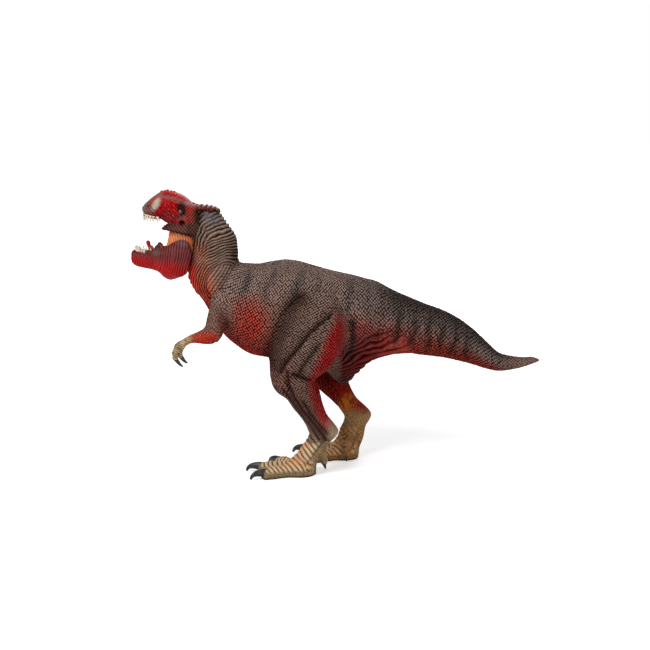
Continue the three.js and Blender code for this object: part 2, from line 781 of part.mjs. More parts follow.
// Arms: rings along upper arm, forearm, palm and fingers as share of the bone, depth and width
const upperArmRowShares = [
  [-0.5, 0.5, 0.5],
  [-0.3, 1.15, 0.8],
  [0, 1.4, 1],
  [0.35, 1.3, 1],
  [0.7, 1.2, 0.95],
  [1, 1, 0.88],
  [1.12, 0.7, 0.64],
];
const forearmRowShares = [
  [-0.16, 0.66, 0.6],
  [0, 0.96, 0.86],
  [0.3, 0.95, 0.8],
  [0.6, 0.72, 0.64],
  [0.95, 0.46, 0.5],
];
const palmRowShares = [
  [0.35, 0.44, 0.56],
  [0.75, 0.5, 0.62],
];
const fingerRowShares = [
  [0.05, 0.56, 0.66],
  [0.55, 0.56, 0.64],
  [0.95, 0.5, 0.58],
  [1.12, 0.28, 0.34],
];
// Where each arm's bones point, in degrees forward of straight down, and how far out they run
const armSwings = { left: [17.8, 80, 58, -6], right: [-46, 112, 62, 14] };

function armPoints(side) {
  const lateral = side === 'left' ? -1 : 1;
  const shoulder = neckSeam.at.clone().add(new THREE.Vector3(-0.03 * torsoLength, 0, -0.1 * torsoDepth));
  shoulder.y = lateral * 0.33 * torsoWidth;
  const lengths = [upperArmLength, forearmLength, palmLength, fingerLength];
  const outward = [0.34, 0.08, 0, 0];
  const points = [shoulder];
  lengths.forEach((length, bone) => {
    const swing = degrees(armSwings[side][bone]);
    points.push(points[bone].clone().add(new THREE.Vector3(
      -length * Math.sin(swing),
      lateral * outward[bone] * length,
      -length * Math.cos(swing),
    )));
  });
  return { lateral, points };
}

// The upper arm is one skin, and the forearm with the hand another that joins it at the elbow
function armSkin(points, firstBone, tables) {
  const rings = [];
  tables.forEach((rows, bone) => {
    const [from, to] = points.slice(firstBone + bone);
    rows.forEach(([share, deep, wide]) => {
      const at = from.clone().lerp(to, share);
      rings.push(ring(at, 0, (deep * armWidth) / 2, (wide * armWidth) / 2));
    });
  });
  rings.forEach((each, row) => {
    const from = rings[Math.max(row - 1, 0)].at;
    const to = rings[Math.min(row + 1, rings.length - 1)].at;
    each.lean = THREE.MathUtils.radToDeg(Math.atan2(from.x - to.x, from.z - to.z)) - 90;
  });
  return solidOf(skin(rings, limbSides - 2));
}

function buildArm(side) {
  const { lateral, points } = armPoints(side);
  const inward = new THREE.Vector3(0, -lateral, 0);
  const backwards = new THREE.Vector3(0.36 * upperArmLength, 0, 0);
  const pegStart = points[0].clone().add(backwards);
  pegStart.y = lateral * 0.36 * torsoWidth;
  const tip = points[4];
  const swing = degrees(armSwings[side][3]);
  const claws = [-0.3, 0.3].map((share, number) => {
    const at = tip.clone().add(new THREE.Vector3(0, share * armWidth * 0.55, 0));
    at.x += number * 0.16 * fingerLength;
    return [handClawLength, handClawRadius, at, lateral * share * -0.5, swing - Math.PI / 2 - degrees(22)];
  });
  const sockets = claws.map(([length, radius, at, yaw, pitch]) => clawSolid(length, radius, at, yaw, pitch, seamClearance));
  const limb = join([
    armSkin(points, 0, [upperArmRowShares]),
    armSkin(points, 1, [forearmRowShares, palmRowShares, fingerRowShares]),
  ]);
  const arm = join([
    cut(limb, [torsoSkin(seamClearance), neckSkin(seamClearance)]),
    peg(shoulderPegRadius, shoulderPegLength, pegStart, inward),
  ]);
  addPiece(`${side}_arm`, cut(arm, sockets), legPaint);
  claws.forEach(([length, radius, at, yaw, pitch], number) => {
    addPiece(`${side}_hand_claw_${number + 1}`, clawSolid(length, radius, at, yaw, pitch), clawPaint);
  });
  return peg(shoulderPegRadius, shoulderPegLength, pegStart, inward, seamClearance);
}

// Legs, feet and arms, with the sockets that their pegs need in the trunk
const limbSockets = [buildLeg('left'), buildLeg('right'), buildArm('left'), buildArm('right')];
const neckPeg = (grow) => peg(trunkPegRadius, trunkPegLength, neckStart, neckInward, grow);
const tailPeg = (grow) => peg(trunkPegRadius, trunkPegLength, tailPegAt, tailInward, grow);
addPiece('torso', cut(torsoSkin(0), [...limbSockets, neckPeg(seamClearance), tailPeg(seamClearance)]), backPaint);
const tailSkin = solidOf(skin(tailRings, trunkSides - 4, 0, trunkMuscles));
addPiece('tail', join([tailSkin, tailPeg(0)]), tailPaint);

// Head, with the palate open from below, and the neck that holds it on a peg
const skullPegAt = neckEnd.clone();
const skullPegAlong = new THREE.Vector3(-1, 0, 0);
const skullPeg = (grow) => peg(hingeBlockWidth / 3, hingeBlockWidth, skullPegAt, skullPegAlong, grow);
const palateRowShares = [
  [0.42, 0.05, 0.6, 0.55],
  [0.62, 0.12, 0.6, 0.5],
  [0.82, 0.14, 0.45, 0.42],
  [0.93, 0.16, 0.3, 0.3],
];
const palateRings = palateRowShares.map(([forward, rise, deep, wide]) => ring(
  skullSeat.clone().add(new THREE.Vector3(-forward * skullLength, 0, rise * skullHeight)),
  0,
  (deep * skullHeight) / 2,
  (wide * skullWidth) / 2,
));
const skullSkin = (grow) => join([
  solidOf(skin(skullRings, trunkSides, grow)),
  solidOf(skin(flapRings, toeSides, grow)),
]);

function eyeSolid(side, grow) {
  const ball = new THREE.SphereGeometry(eyeRadius + grow, 12, 8);
  const at = skullSeat.clone().add(new THREE.Vector3(-0.312 * skullLength, 0, 0.291 * skullHeight));
  at.y = (side === 'left' ? -1 : 1) * (0.475 * skullWidth - 0.55 * eyeRadius);
  return solidOf(ball.translate(at.x, at.y, at.z));
}
addPiece('head', cut(skullSkin(0), [
  jawSweep,
  solidOf(skin(palateRings, limbSides)),
  blockSolid(seamClearance),
  upperTeeth(seamClearance),
  eyeSolid('left', seamClearance),
  eyeSolid('right', seamClearance),
  skullPeg(seamClearance),
]), facePaint);
addPiece('neck', join([
  cut(neckSkin(0), [skullSkin(seamClearance), blockSolid(seamClearance), jawSweep]),
  neckPeg(0),
]).add(cut(skullPeg(0), [blockSolid(seamClearance)])), neckPaint);
addPiece('upper_teeth', upperTeeth(0), toothPaint);
addPiece('left_eye', eyeSolid('left', 0), eyePaint);
addPiece('right_eye', eyeSolid('right', 0), eyePaint);

// Throat hollow in the front of the lining
const throat = new THREE.SphereGeometry(0.36 * hingeBlockWidth, 12, 8);
throat.translate(hinge.x - 0.27 * skullLength, 0, hinge.z + 0.34 * skullHeight);
addPiece('mouth_lining', cut(blockSolid(0), [solidOf(throat), pinSolid(seamClearance / 2)]), liningPaint);
addPiece('jaw_pin', pinSolid(-seamClearance / 2), pinSteel);

// Lower jaw: slotted at the back for the hinge block, with a trough for the tongue
const slotHalf = hingeBlockWidth / 2 + seamClearance;
const slotFront = 0.37 * jawLength;
const slotFloor = hingeBlockRadius + 2 * runningClearance + seamClearance;
const slot = new THREE.BoxGeometry(slotFront + jawLength, 2 * slotHalf, jawDepth);
slot.translate(hinge.x + jawLength / 2 - slotFront / 2, 0, hinge.z - slotFloor + jawDepth / 2);
const troughRowShares = [
  [0.3, 0.05, 0.66],
  [0.5, 0.05, 0.54],
  [0.72, 0.05, 0.44],
  [0.86, 0.06, 0.34],
];
const troughFloor = hinge.z - 0.135 * jawDepth;
const troughRings = troughRowShares.map(([forward, rise, wide]) => ring(
  new THREE.Vector3(hinge.x - forward * jawLength, 0, troughFloor + (0.25 + rise) * jawDepth),
  0,
  0.25 * jawDepth,
  wide * (jawWidth / 2 - jawWall) * 1.2,
));
addPiece('lower_jaw', cut(solidOf(jawSkin(0)), [
  solidOf(slot),
  solidOf(skin(troughRings, limbSides)),
  lowerTeeth(seamClearance),
  pinSolid(seamClearance),
]), jawPaint);
addPiece('lower_teeth', lowerTeeth(0), toothPaint);

// Tongue: lies on the trough and lifts at the tip
const tongueRowShares = [
  [0.45, 0, 0.6, 0.5],
  [0.5, 0.04, 1, 0.9],
  [0.6, 0.1, 1, 1],
  [0.68, 0.19, 0.8, 0.8],
  [0.735, 0.29, 0.6, 0.5],
];
const tongueRings = tongueRowShares.map(([forward, rise, thick, wide]) => ring(
  new THREE.Vector3(
    hinge.x - forward * jawLength,
    0,
    troughFloor + seamClearance + 0.05 * jawDepth + (thick * tongueThickness) / 2 + rise * jawDepth,
  ),
  0,
  (thick * tongueThickness) / 2,
  (wide * tongueWidth) / 2,
));
addPiece('tongue', solidOf(skin(tongueRings, toeSides)), tonguePaint);

// Origin: the middle of the outline, on the floor
const outline = new THREE.Box3().setFromObject(figure);
const middle = outline.getCenter(new THREE.Vector3());
figure.position.set(-middle.x, -middle.y, 0);

export default figure;
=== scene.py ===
import math
import bmesh
import bpy
import numpy as np
from mathutils import Matrix, Vector


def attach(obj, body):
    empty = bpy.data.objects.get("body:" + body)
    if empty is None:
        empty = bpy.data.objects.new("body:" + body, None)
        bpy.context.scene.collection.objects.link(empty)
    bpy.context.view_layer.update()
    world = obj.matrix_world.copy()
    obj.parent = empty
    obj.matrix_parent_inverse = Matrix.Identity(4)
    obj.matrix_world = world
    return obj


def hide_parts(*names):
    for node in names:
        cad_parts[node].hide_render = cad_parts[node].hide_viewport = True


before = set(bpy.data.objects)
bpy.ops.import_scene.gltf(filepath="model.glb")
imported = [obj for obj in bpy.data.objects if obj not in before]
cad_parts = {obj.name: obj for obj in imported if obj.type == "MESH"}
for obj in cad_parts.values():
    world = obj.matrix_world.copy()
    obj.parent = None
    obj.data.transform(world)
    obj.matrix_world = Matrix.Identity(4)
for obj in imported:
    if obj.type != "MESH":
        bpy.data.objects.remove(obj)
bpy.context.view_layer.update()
scene = bpy.context.scene

# ------------------------------------------------------------------ camera
# A long lens looks at the figure's left side from three quarters of a metre,
# ten degrees above level, with no depth of field and no shift.
camera_aim = Vector((-0.0059, -0.0015, 0.0718))
camera_distance = 0.75
camera_rise = math.radians(10)
lens = bpy.data.cameras.new("studio_camera")
lens.lens = 83.08
lens.sensor_width = 36
camera = bpy.data.objects.new("studio_camera", lens)
camera.location = camera_aim + camera_distance * Vector((0, -math.cos(camera_rise), math.sin(camera_rise)))
camera.rotation_euler = (camera_aim - camera.location).to_track_quat("-Z", "Y").to_euler()
scene.collection.objects.link(camera)
scene.camera = camera
scene.view_settings.view_transform = "Standard"

# ---------------------------------------------------------- floor and light
# A white sweep that keeps the figure's soft shadow, and three soft boxes:
# a key at the upper left, a fill at the right and a weak one behind.
def feed(tree, node, feeds):
    """Gives a node's inputs their values, or wires them to a node or to one of its outputs."""
    for name, source in feeds.items():
        if isinstance(source, bpy.types.Node):
            source = source.outputs[0]
        if isinstance(source, bpy.types.NodeSocket):
            tree.links.new(source, node.inputs[name])
        else:
            node.inputs[name].default_value = source
    return node


def add(tree, kind, feeds=None, **settings):
    """A new node with its settings and what feeds it."""
    node = tree.nodes.new(kind)
    for name, value in settings.items():
        setattr(node, name, value)
    return feed(tree, node, feeds or {})


def reckon(tree, operation, *terms):
    """A node that works out a number."""
    return add(tree, "ShaderNodeMath", dict(enumerate(terms)), operation=operation)


def vector(tree, operation, feeds):
    """A node that works on places or colours."""
    return add(tree, "ShaderNodeVectorMath", feeds, operation=operation)


def span(tree, value, low, high, start=0, end=1, **settings):
    """A node that turns the range from low to high into that from start to end."""
    feeds = {"Value": value, "From Min": low, "From Max": high, "To Min": start, "To Max": end}
    return add(tree, "ShaderNodeMapRange", feeds, **settings)


floor_reach = 3
floor_mesh = bpy.data.meshes.new("studio_floor")
corners = [(x * floor_reach, y * floor_reach, 0) for x, y in ((-1, -1), (1, -1), (1, 1), (-1, 1))]
floor_mesh.from_pydata(corners, [], [(0, 1, 2, 3)])
floor = bpy.data.objects.new("studio_floor", floor_mesh)
scene.collection.objects.link(floor)
paper = bpy.data.materials.new("white sweep")
paper.use_nodes = True
tree = paper.node_tree
tree.nodes.clear()
matt = add(tree, "ShaderNodeBsdfDiffuse", {"Color": (0.9, 0.9, 0.9, 1)})
away = vector(tree, "LENGTH", {0: add(tree, "ShaderNodeTexCoord").outputs["Object"]})
fade = span(tree, away.outputs["Value"], 0.12, 0.5, 0.45, 0.85, interpolation_type="SMOOTHSTEP")
lift = reckon(tree, "MULTIPLY", add(tree, "ShaderNodeLightPath").outputs["Is Camera Ray"], fade)
glow = add(tree, "ShaderNodeEmission", {"Strength": lift})
add(tree, "ShaderNodeOutputMaterial", {"Surface": add(tree, "ShaderNodeAddShader", {0: matt, 1: glow})})
floor_mesh.materials.append(paper)

sky = bpy.data.worlds.new("white studio")
scene.world = sky
sky.use_nodes = True
tree = sky.node_tree
tree.nodes.clear()
seen = add(tree, "ShaderNodeLightPath")
direct = reckon(tree, "MAXIMUM", seen.outputs["Is Camera Ray"], seen.outputs["Is Transmission Ray"])
back = add(tree, "ShaderNodeBackground", {"Color": (1, 1, 1, 1),
                                          "Strength": span(tree, direct, 0, 1, 0.3, 1)})
add(tree, "ShaderNodeOutputWorld", {"Surface": back})

for name, place, size, power in (
    ("key", (-0.45, -0.6, 0.75), 0.5, 6.6),
    ("fill", (0.6, -0.55, 0.35), 0.5, 1.5),
    ("rim", (0.15, 0.7, 0.6), 0.5, 2.2),
):
    lamp = bpy.data.lights.new(name, "AREA")
    lamp.size = size
    lamp.energy = power
    lamp_object = bpy.data.objects.new(name, lamp)
    lamp_object.location = place
    lamp_object.rotation_euler = (camera_aim - lamp_object.location).to_track_quat("-Z", "Y").to_euler()
    scene.collection.objects.link(lamp_object)

# ------------------------------------------------------------------- torso
# The trunk is one cast of painted vinyl: deep ribs, a narrow belly and a keeled
# back, covered in small pebbly scales. Every other casting is glued onto it.
# Sizes are millimetres from the figure's own middle line.
middle_line = np.array((-5.911, -1.484, 0.0))
coarse = 1.0


def smooth(rows, cuts=4):
    """The given rows with more of them drawn in between, on one smooth curve."""
    rows = np.array(rows, float)
    fine = []
    for number in range(len(rows) - 1):
        before = rows[max(number - 1, 0)]
        here, there = rows[number], rows[number + 1]
        after = rows[min(number + 2, len(rows) - 1)]
        for t in np.arange(cuts) / cuts:
            fine.append((2 * t**3 - 3 * t**2 + 1) * here + (t**3 - 2 * t**2 + t) * (there - before) / 2
                        + (3 * t**2 - 2 * t**3) * there + (t**3 - t**2) * (after - here) / 2)
    fine.append(rows[-1])
    return np.array(fine)


def section(rows, x, z):
    """For points of the side view, the cross-section they lie in: how high above its centre,
    and its half depth, half width, side, keel and place along the rows."""
    fine = smooth(rows)
    lean = np.radians(fine[:, 3])
    level, tilt = np.cos(lean), np.sin(lean)
    step = np.diff(fine[:, :2], axis=0)
    way = np.sign((step[:, 0] * level[:-1] - step[:, 1] * tilt[:-1]).sum())

    def past(number):
        return way * ((x - fine[number, 0]) * level[number] - (z - fine[number, 1]) * tilt[number])

    score = np.full(x.shape, 1e6)
    found = np.zeros(x.shape + (6,))
    found[..., 1:3] = 1
    beyond = np.full(x.shape, 6.0)
    ends = np.full(x.shape, -1e3)
    last = len(fine) - 1
    ahead = past(0)
    for number in range(last):
        here, ahead = ahead, past(number + 1)
        at = np.nonzero((here >= 0) & (ahead < 0))
        share = (here[at] / (here[at] - ahead[at]))[:, None]
        row = fine[number] + share * (fine[number + 1] - fine[number])
        turn = np.radians(row[:, 3])
        rise = (x[at] - row[:, 0]) * np.sin(turn) + (z[at] - row[:, 1]) * np.cos(turn)
        worth = np.abs(rise) / row[:, 2]
        better = worth < score[at]
        at = tuple(index[better] for index in at)
        row, rise = row[better], rise[better]
        score[at] = worth[better]
        found[at] = np.stack([rise, row[:, 2], row[:, 4], row[:, 5], row[:, 6],
                              (number + share[better, 0]) / last], axis=-1)
        beyond[at] = 0
        limit = np.full(len(rise), -1e3)
        if number < 3:
            limit = np.maximum(limit, -past(0)[at])
        if number > last - 4:
            limit = np.maximum(limit, past(last)[at])
        ends[at] = limit
    return found, beyond, ends


def skin(rows, x, y, z, fullness=2.0):
    """How far each point is outside (or, below zero, inside) the skin over the rows.
    x and z are a side view's grid and y runs across it, or all three are lists of points."""
    found, beyond, ends = section(rows, x, z)
    if x.ndim == 2:
        found, beyond, ends = found[:, None], beyond[:, None], ends[:, None]
        y = y[None, :, None]
    rise, deep, wide, side, keel, _ = np.moveaxis(found, -1, 0)
    high = rise / deep
    wide = wide * (1 - keel * np.clip(high, -1, 1))
    out = (y - side) / wide
    share = (np.abs(high)**fullness + np.abs(out)**fullness)**(1 / fullness)
    reach = np.hypot(rise, y - side)
    return np.maximum(reach - reach / np.maximum(share, 0.05) + beyond, ends)


def melt(one, other, reach):
    """Two forms run together with a fillet."""
    share = np.clip(0.5 + 0.5 * (other - one) / reach, 0, 1)
    return other * (1 - share) + one * share - reach * share * (1 - share)


def lump(x, y, z, at, size, turn=0, both=True):
    """A muscle: an ellipsoid turned in the side view, on both sides of the middle line."""
    c, s = math.cos(math.radians(turn)), math.sin(math.radians(turn))
    along, across = x - at[0], z - at[2]
    y = np.abs(y) if both else y
    share = np.sqrt(((along * c + across * s) / size[0])**2 + ((y - at[1]) / size[1])**2
                    + ((across * c - along * s) / size[2])**2)
    return (share - 1) * min(size)


def muscled(form, x, y, z, muscles, both=True):
    """A form with muscles run into it, each with its place, size, turn and fillet."""
    for at, size, turn, reach in muscles:
        form = melt(form, lump(x, y, z, at, size, turn, both), reach)
    return form


def hollowed(form, tool, reach):
    """A form with another cut out of it, and the edge rounded."""
    return -melt(-form, tool, reach)


def volume(x, y, z):
    """A side view's grid and the widths across it, as one block of space."""
    return x[:, None], y[None, :, None], z[:, None]


def lattice(low, high, pitch):
    """The three rulers of a block of space."""
    return [np.arange(a, b + pitch, pitch) for a, b in zip(low, high)]


def net(field, low, pitch):
    """The surface where the field is zero, as points and four-sided faces that point outwards."""
    inside = field < 0
    size = np.array(field.shape) - 1
    count = np.zeros(size, np.int8)
    corners = [np.array((i, j, k)) for i in (0, 1) for j in (0, 1) for k in (0, 1)]
    for i, j, k in corners:
        count += inside[i:i + size[0], j:j + size[1], k:k + size[2]]
    mixed = (count > 0) & (count < 8)
    cells = np.argwhere(mixed)
    number = np.full(size, -1)
    number[mixed] = np.arange(len(cells))
    place, hits = np.zeros((len(cells), 3)), np.zeros(len(cells))
    for axis in range(3):
        unit = np.eye(3, dtype=int)[axis]
        for corner in corners:
            if corner[axis]:
                continue
            start = cells + corner
            one, other = field[tuple(start.T)], field[tuple((start + unit).T)]
            cross = (one < 0) != (other < 0)
            share = one[cross] / (one[cross] - other[cross])
            place[cross] += start[cross] + share[:, None] * unit
            hits[cross] += 1
    faces = []
    for axis in range(3):
        u, v = np.eye(3, dtype=int)[[(axis + 1) % 3, (axis + 2) % 3]]
        unit = np.eye(3, dtype=int)[axis]
        ahead = inside[tuple(slice(1, None) if a == axis else slice(None) for a in range(3))]
        here = inside[tuple(slice(None, -1) if a == axis else slice(None) for a in range(3))]
        edge = np.argwhere(ahead != here)
        edge = edge[(edge @ u > 0) & (edge @ v > 0)]
        four = np.stack([number[tuple((edge - shift).T)] for shift in (u + v, v, 0 * u, u)], axis=1)
        out = here[tuple(edge.T)]
        four[~out] = four[~out][:, ::-1]
        faces.append(four)
    return place / hits[:, None] * pitch + low, np.concatenate(faces)


def relaxed(points, faces, rounds=2):
    """The points drawn towards their neighbours and back, which takes the grid's steps out."""
    pairs = np.concatenate([faces[:, [a, (a + 1) % 4]] for a in range(4)])
    one, other = pairs.T
    count = np.bincount(one, minlength=len(points)) + np.bincount(other, minlength=len(points))
    for pull in (0.5, -0.52) * rounds:
        total = np.stack([np.bincount(one, points[other, a], len(points))
                          + np.bincount(other, points[one, a], len(points)) for a in range(3)], axis=1)
        points = points + pull * (total / count[:, None] - points)
    return points


def facing(points, faces):
    """Which way the surface looks at each point."""
    a, b, c, d = (points[faces[:, n]] for n in range(4))
    way = np.cross(c - a, d - b)
    total = np.stack([sum(np.bincount(faces[:, n], way[:, axis], len(points)) for n in range(4))
                      for axis in range(3)], axis=1)
    return total / np.maximum(np.linalg.norm(total, axis=1), 1e-9)[:, None]


def grain(points, size, seed=0):
    """Soft cloudy variation from -1 to 1, with lumps of the given size."""
    scaled = points / size + seed * 17.31
    cell = np.floor(scaled).astype(np.int64)
    part = scaled - cell
    part = part * part * (3 - 2 * part)
    total = 0
    for corner in np.ndindex(2, 2, 2):
        spot = cell + corner
        mixed = (spot[:, 0] * 73856093) ^ (spot[:, 1] * 19349663) ^ (spot[:, 2] * 83492791)
        mixed = (mixed ^ (mixed >> 13)) * 1274126177 & 0xFFFFFFFF
        worth = np.where(corner, part, 1 - part).prod(axis=1)
        total = total + worth * ((mixed >> 8) % 65536 / 32768 - 1)
    return total


def fold(phase, sharp=0.7):
    """Rounded ridges with narrow creases between them, from 0 in the crease to 1 on top."""
    return np.abs(np.sin(phase * math.pi))**sharp


def near(points, path, width, behind=None):
    """1 on a line of the side view, fading to 0 about a width away from it; seen along the line,
    `behind` is that width on its right."""
    path = np.array(path, float)
    spot = points[:, [0, 2]]
    least = np.full(len(points), 1e6)
    turned = np.zeros(len(points))
    for start, end in zip(path[:-1], path[1:]):
        way, rest = end - start, spot - start
        share = np.clip((rest @ way) / (way @ way), 0, 1)
        far = np.linalg.norm(rest - share[:, None] * way, axis=1)
        turned = np.where(far < least, way[0] * rest[:, 1] - way[1] * rest[:, 0], turned)
        least = np.minimum(least, far)
    return np.exp(-(least / np.where(turned < 0, behind or width, width))**2)


def patch(points, at, size, turn=0, soft=1.0):
    """1 inside an oval of the side view, fading to 0 across its edge."""
    c, s = math.cos(math.radians(turn)), math.sin(math.radians(turn))
    x, z = points[:, 0] - at[0], points[:, 2] - at[1]
    share = np.hypot((x * c + z * s) / size[0], (z * c - x * s) / size[1])
    return np.clip((1.25 - share) / (0.5 * soft), 0, 1)


def tone(red, green, blue):
    """A mixed paint, from its values on screen."""
    return np.array([((v / 255 + 0.055) / 1.055)**2.4 if v > 10 else v / 3294.6
                     for v in (red, green, blue)])


def undercoat(points, *colour):
    """One paint all over."""
    return np.tile(tone(*colour), (len(points), 1))


def spray(paint, *layers):
    """Airbrushes layers over the paint. Each is a mask, the colour's values on screen and, for a
    mottled colour, what varies it."""
    for mask, red, green, blue, *vary in layers:
        mask = np.clip(mask, 0, 1)[:, None]
        paint = paint * (1 - mask) + tone(red, green, blue) * (vary[0][:, None] if vary else 1) * mask
    return paint


def crease(depth, relief, mask, ridges, deep, dark):
    """Presses the gaps between ridges into the hide where the mask is, and lowers their relief there so
    that the wash paints shade into them.
    """
    pressed = mask * (1 - ridges)
    return depth + pressed * deep, relief * (1 - dark * pressed)


taupe = (160, 126, 112)
slate = (160, 140, 132)
soot = (38, 27, 24)


def ramp(value, low, high):
    return np.clip((value - low) / (high - low), 0, 1)


def kit(name, inputs, output):
    """An empty Geometry Nodes tree with its inputs and its output, and the sockets that come in."""
    tree = bpy.data.node_groups.new(name, "GeometryNodeTree")
    for label, value in inputs.items():
        kind = value if isinstance(value, str) else "Int" if isinstance(value, int) else "Float"
        socket = tree.interface.new_socket(label, in_out="INPUT", socket_type="NodeSocket" + kind)
        if kind != value:
            socket.default_value = value
    tree.interface.new_socket(output, in_out="OUTPUT", socket_type="NodeSocketGeometry")
    return tree, add(tree, "NodeGroupInput").outputs


def closed(tree, shape, coat):
    """The end of a tree: its instances made real and its material set."""
    real = add(tree, "GeometryNodeRealizeInstances", {0: shape})
    add(tree, "NodeGroupOutput",
        {0: add(tree, "GeometryNodeSetMaterial", {"Geometry": real, "Material": coat})})
    return tree


def given(tree, name, kind="FLOAT"):
    """A node that reads one of the skin's own attributes."""
    return add(tree, "GeometryNodeInputNamedAttribute", {"Name": name}, data_type=kind)


def pebbles(tree, weave, low, high, **settings):
    """A dome on every scale, 1 on top and 0 in the gaps, from the count of scales along and across."""
    cells = add(tree, "ShaderNodeTexVoronoi", {"Vector": weave, "Randomness": 0.3, "Scale": 1},
                feature="F1", voronoi_dimensions="2D")
    return span(tree, cells, low, high, 1, 0, **settings)


def scale_tree():
    """Raises pebbly scales on a skin where its 'scales' attribute says, and leaves the count of
    scales along and across in its 'weave' attribute, which the paint reads."""
    inputs = {"Skin": "Geometry", "Scale Pitch": 0.0013, "Scale Height": 0.0003, "Warp": 0.0004,
              "Paint": "Material"}
    tree, start = kit("pebbled hide", inputs, "Skin")
    cloud = add(tree, "ShaderNodeTexNoise", {"Vector": add(tree, "GeometryNodeInputPosition"),
                                             "Scale": 200})
    flat = given(tree, "weave", "FLOAT_VECTOR")
    shift = vector(tree, "MULTIPLY_ADD", {0: cloud.outputs["Color"], 1: start["Warp"], 2: flat})
    counted = vector(tree, "SCALE", {0: shift, "Scale": reckon(tree, "DIVIDE", 1, start["Scale Pitch"])})
    mask = given(tree, "scales")
    dome = span(tree, mask, 0, 1, 1, pebbles(tree, counted, 0.06, 0.58, interpolation_type="SMOOTHSTEP"))
    height = reckon(tree, "MULTIPLY", reckon(tree, "SUBTRACT", dome, 0.6), start["Scale Height"])
    lift = vector(tree, "SCALE", {0: add(tree, "GeometryNodeInputNormal"),
                                  "Scale": reckon(tree, "MULTIPLY", height, mask)})
    keep = add(tree, "GeometryNodeStoreNamedAttribute",
               {"Name": "weave", "Geometry": start["Skin"], "Value": counted},
               data_type="FLOAT_VECTOR", domain="POINT")
    return closed(tree, add(tree, "GeometryNodeSetPosition", {"Geometry": keep, "Offset": lift}),
                  start["Paint"])


def baked(shape):
    """The modifiers of a piece made into plain mesh."""
    bpy.context.view_layer.update()
    seen_shape = shape.evaluated_get(bpy.context.evaluated_depsgraph_get())
    mesh = bpy.data.meshes.new_from_object(seen_shape)
    shape.modifiers.clear()
    shape.data = mesh
    return shape


def tuned(shape, tree, **values):
    """Puts a Geometry Nodes tree on a piece with its named inputs set."""
    modifier = shape.modifiers.new(tree.name, "NODES")
    modifier.node_group = tree
    for item in tree.interface.items_tree:
        name = item.name.replace(" ", "_").lower()
        if item.in_out == "INPUT" and name in values:
            modifier[item.identifier] = values[name]
    return shape


def new_paint(name):
    """A new material, with its tree and its coat."""
    material = bpy.data.materials.new(name)
    material.use_nodes = True
    return material, material.node_tree, material.node_tree.nodes["Principled BSDF"]


def mottle(tree, size, detail=2, stretch=None):
    """Cloudy variation fixed to the piece, finer for a larger size, drawn out where stretched."""
    place = add(tree, "ShaderNodeTexCoord").outputs["Object"]
    if stretch:
        place = add(tree, "ShaderNodeMapping", {"Vector": place, "Scale": stretch})
    return add(tree, "ShaderNodeTexNoise", {"Vector": place, "Scale": size, "Detail": detail})


def painted_vinyl(name, gloss=0.5, wash_and_shade=0.99, dry_brush_and_highlight=0.5, speck=0.16, bump=0.35):
    """Sprayed colour, a dark wash in the creases that also paints their shade, paler dry-brushed tops that
    also paint highlights, and a fine cast grain.
    """
    material, tree, coat = new_paint(name)
    colour, creases, scaly, weave = (add(tree, "ShaderNodeAttribute", attribute_name=label).outputs
                                     for label in ("paint", "relief", "scales", "weave"))
    pebble = span(tree, scaly["Fac"], 0, 1, 1, pebbles(tree, weave["Vector"], 0.08, 0.6))
    relief = reckon(tree, "MULTIPLY", creases["Fac"], pebble)
    dust, cloud = mottle(tree, 1400, 3), mottle(tree, 180)
    vary = reckon(tree, "MULTIPLY", span(tree, cloud, 0.25, 0.75, 1 - speck, 1 + speck),
                  span(tree, dust, 0.3, 0.7, 1 - speck, 1 + speck))
    varied = vector(tree, "SCALE", {0: colour["Color"], "Scale": vary})
    # a dark wash that also paints shade, deepest where the relief is lowest: in the creases and the gaps
    # between scales
    dark = vector(tree, "MULTIPLY", {0: varied, 1: (0.06, 0.028, 0.02)})
    low = span(tree, relief, 0, 0.92, wash_and_shade, 0, interpolation_type="SMOOTHSTEP")
    washed_and_shaded = add(tree, "ShaderNodeMix", {0: low, 4: varied, 5: dark}, data_type="VECTOR").outputs[1]
    # dry brushing that also paints a highlight on the tops of the relief
    bright = vector(tree, "MULTIPLY_ADD", {0: washed_and_shaded, 1: (1.35, 1.35, 1.35), 2: (0.035, 0.03, 0.027)})
    top = span(tree, relief, 0.7, 1, 0, dry_brush_and_highlight)
    brushed_and_highlighted = add(tree, "ShaderNodeMix", {0: top, 4: washed_and_shaded, 5: bright}, data_type="VECTOR").outputs[1]
    raised = add(tree, "ShaderNodeBump", {"Strength": bump, "Distance": 0.0002, "Height": dust})
    domed = add(tree, "ShaderNodeBump", {"Strength": 0.75, "Distance": 0.0004, "Height": pebble,
                                         "Normal": raised})
    # the creases hold no shine
    feed(tree, coat, {"Base Color": brushed_and_highlighted, "Roughness": span(tree, dust, 0, 1, gloss - 0.1, gloss + 0.14),
                      "Normal": domed, "Specular IOR Level": span(tree, relief, 0.5, 1, 0, 0.26)})
    return material


def wrapped(rows, points, outward=0):
    """Each point's place along the rows and around them, as if the hide were laid flat."""
    x, y, z = points.T
    found, beyond, _ = section(rows, x, z)
    rise, deep, wide, side, _, share = found.T
    fine = smooth(rows)
    long = np.concatenate([[0], np.cumsum(np.hypot(*np.diff(fine[:, :2], axis=0).T))])
    along = np.interp(share * (len(fine) - 1), np.arange(len(fine)), long)
    across = outward * (y - side) if outward else np.abs(y)
    around = np.arctan2(rise / deep, across / wide) * np.sqrt((deep**2 + wide**2) / 2)
    lost = beyond > 0
    along[lost], around[lost] = x[lost] + 0.6 * np.abs(y[lost]), z[lost] + 0.5 * np.abs(y[lost])
    return along, around


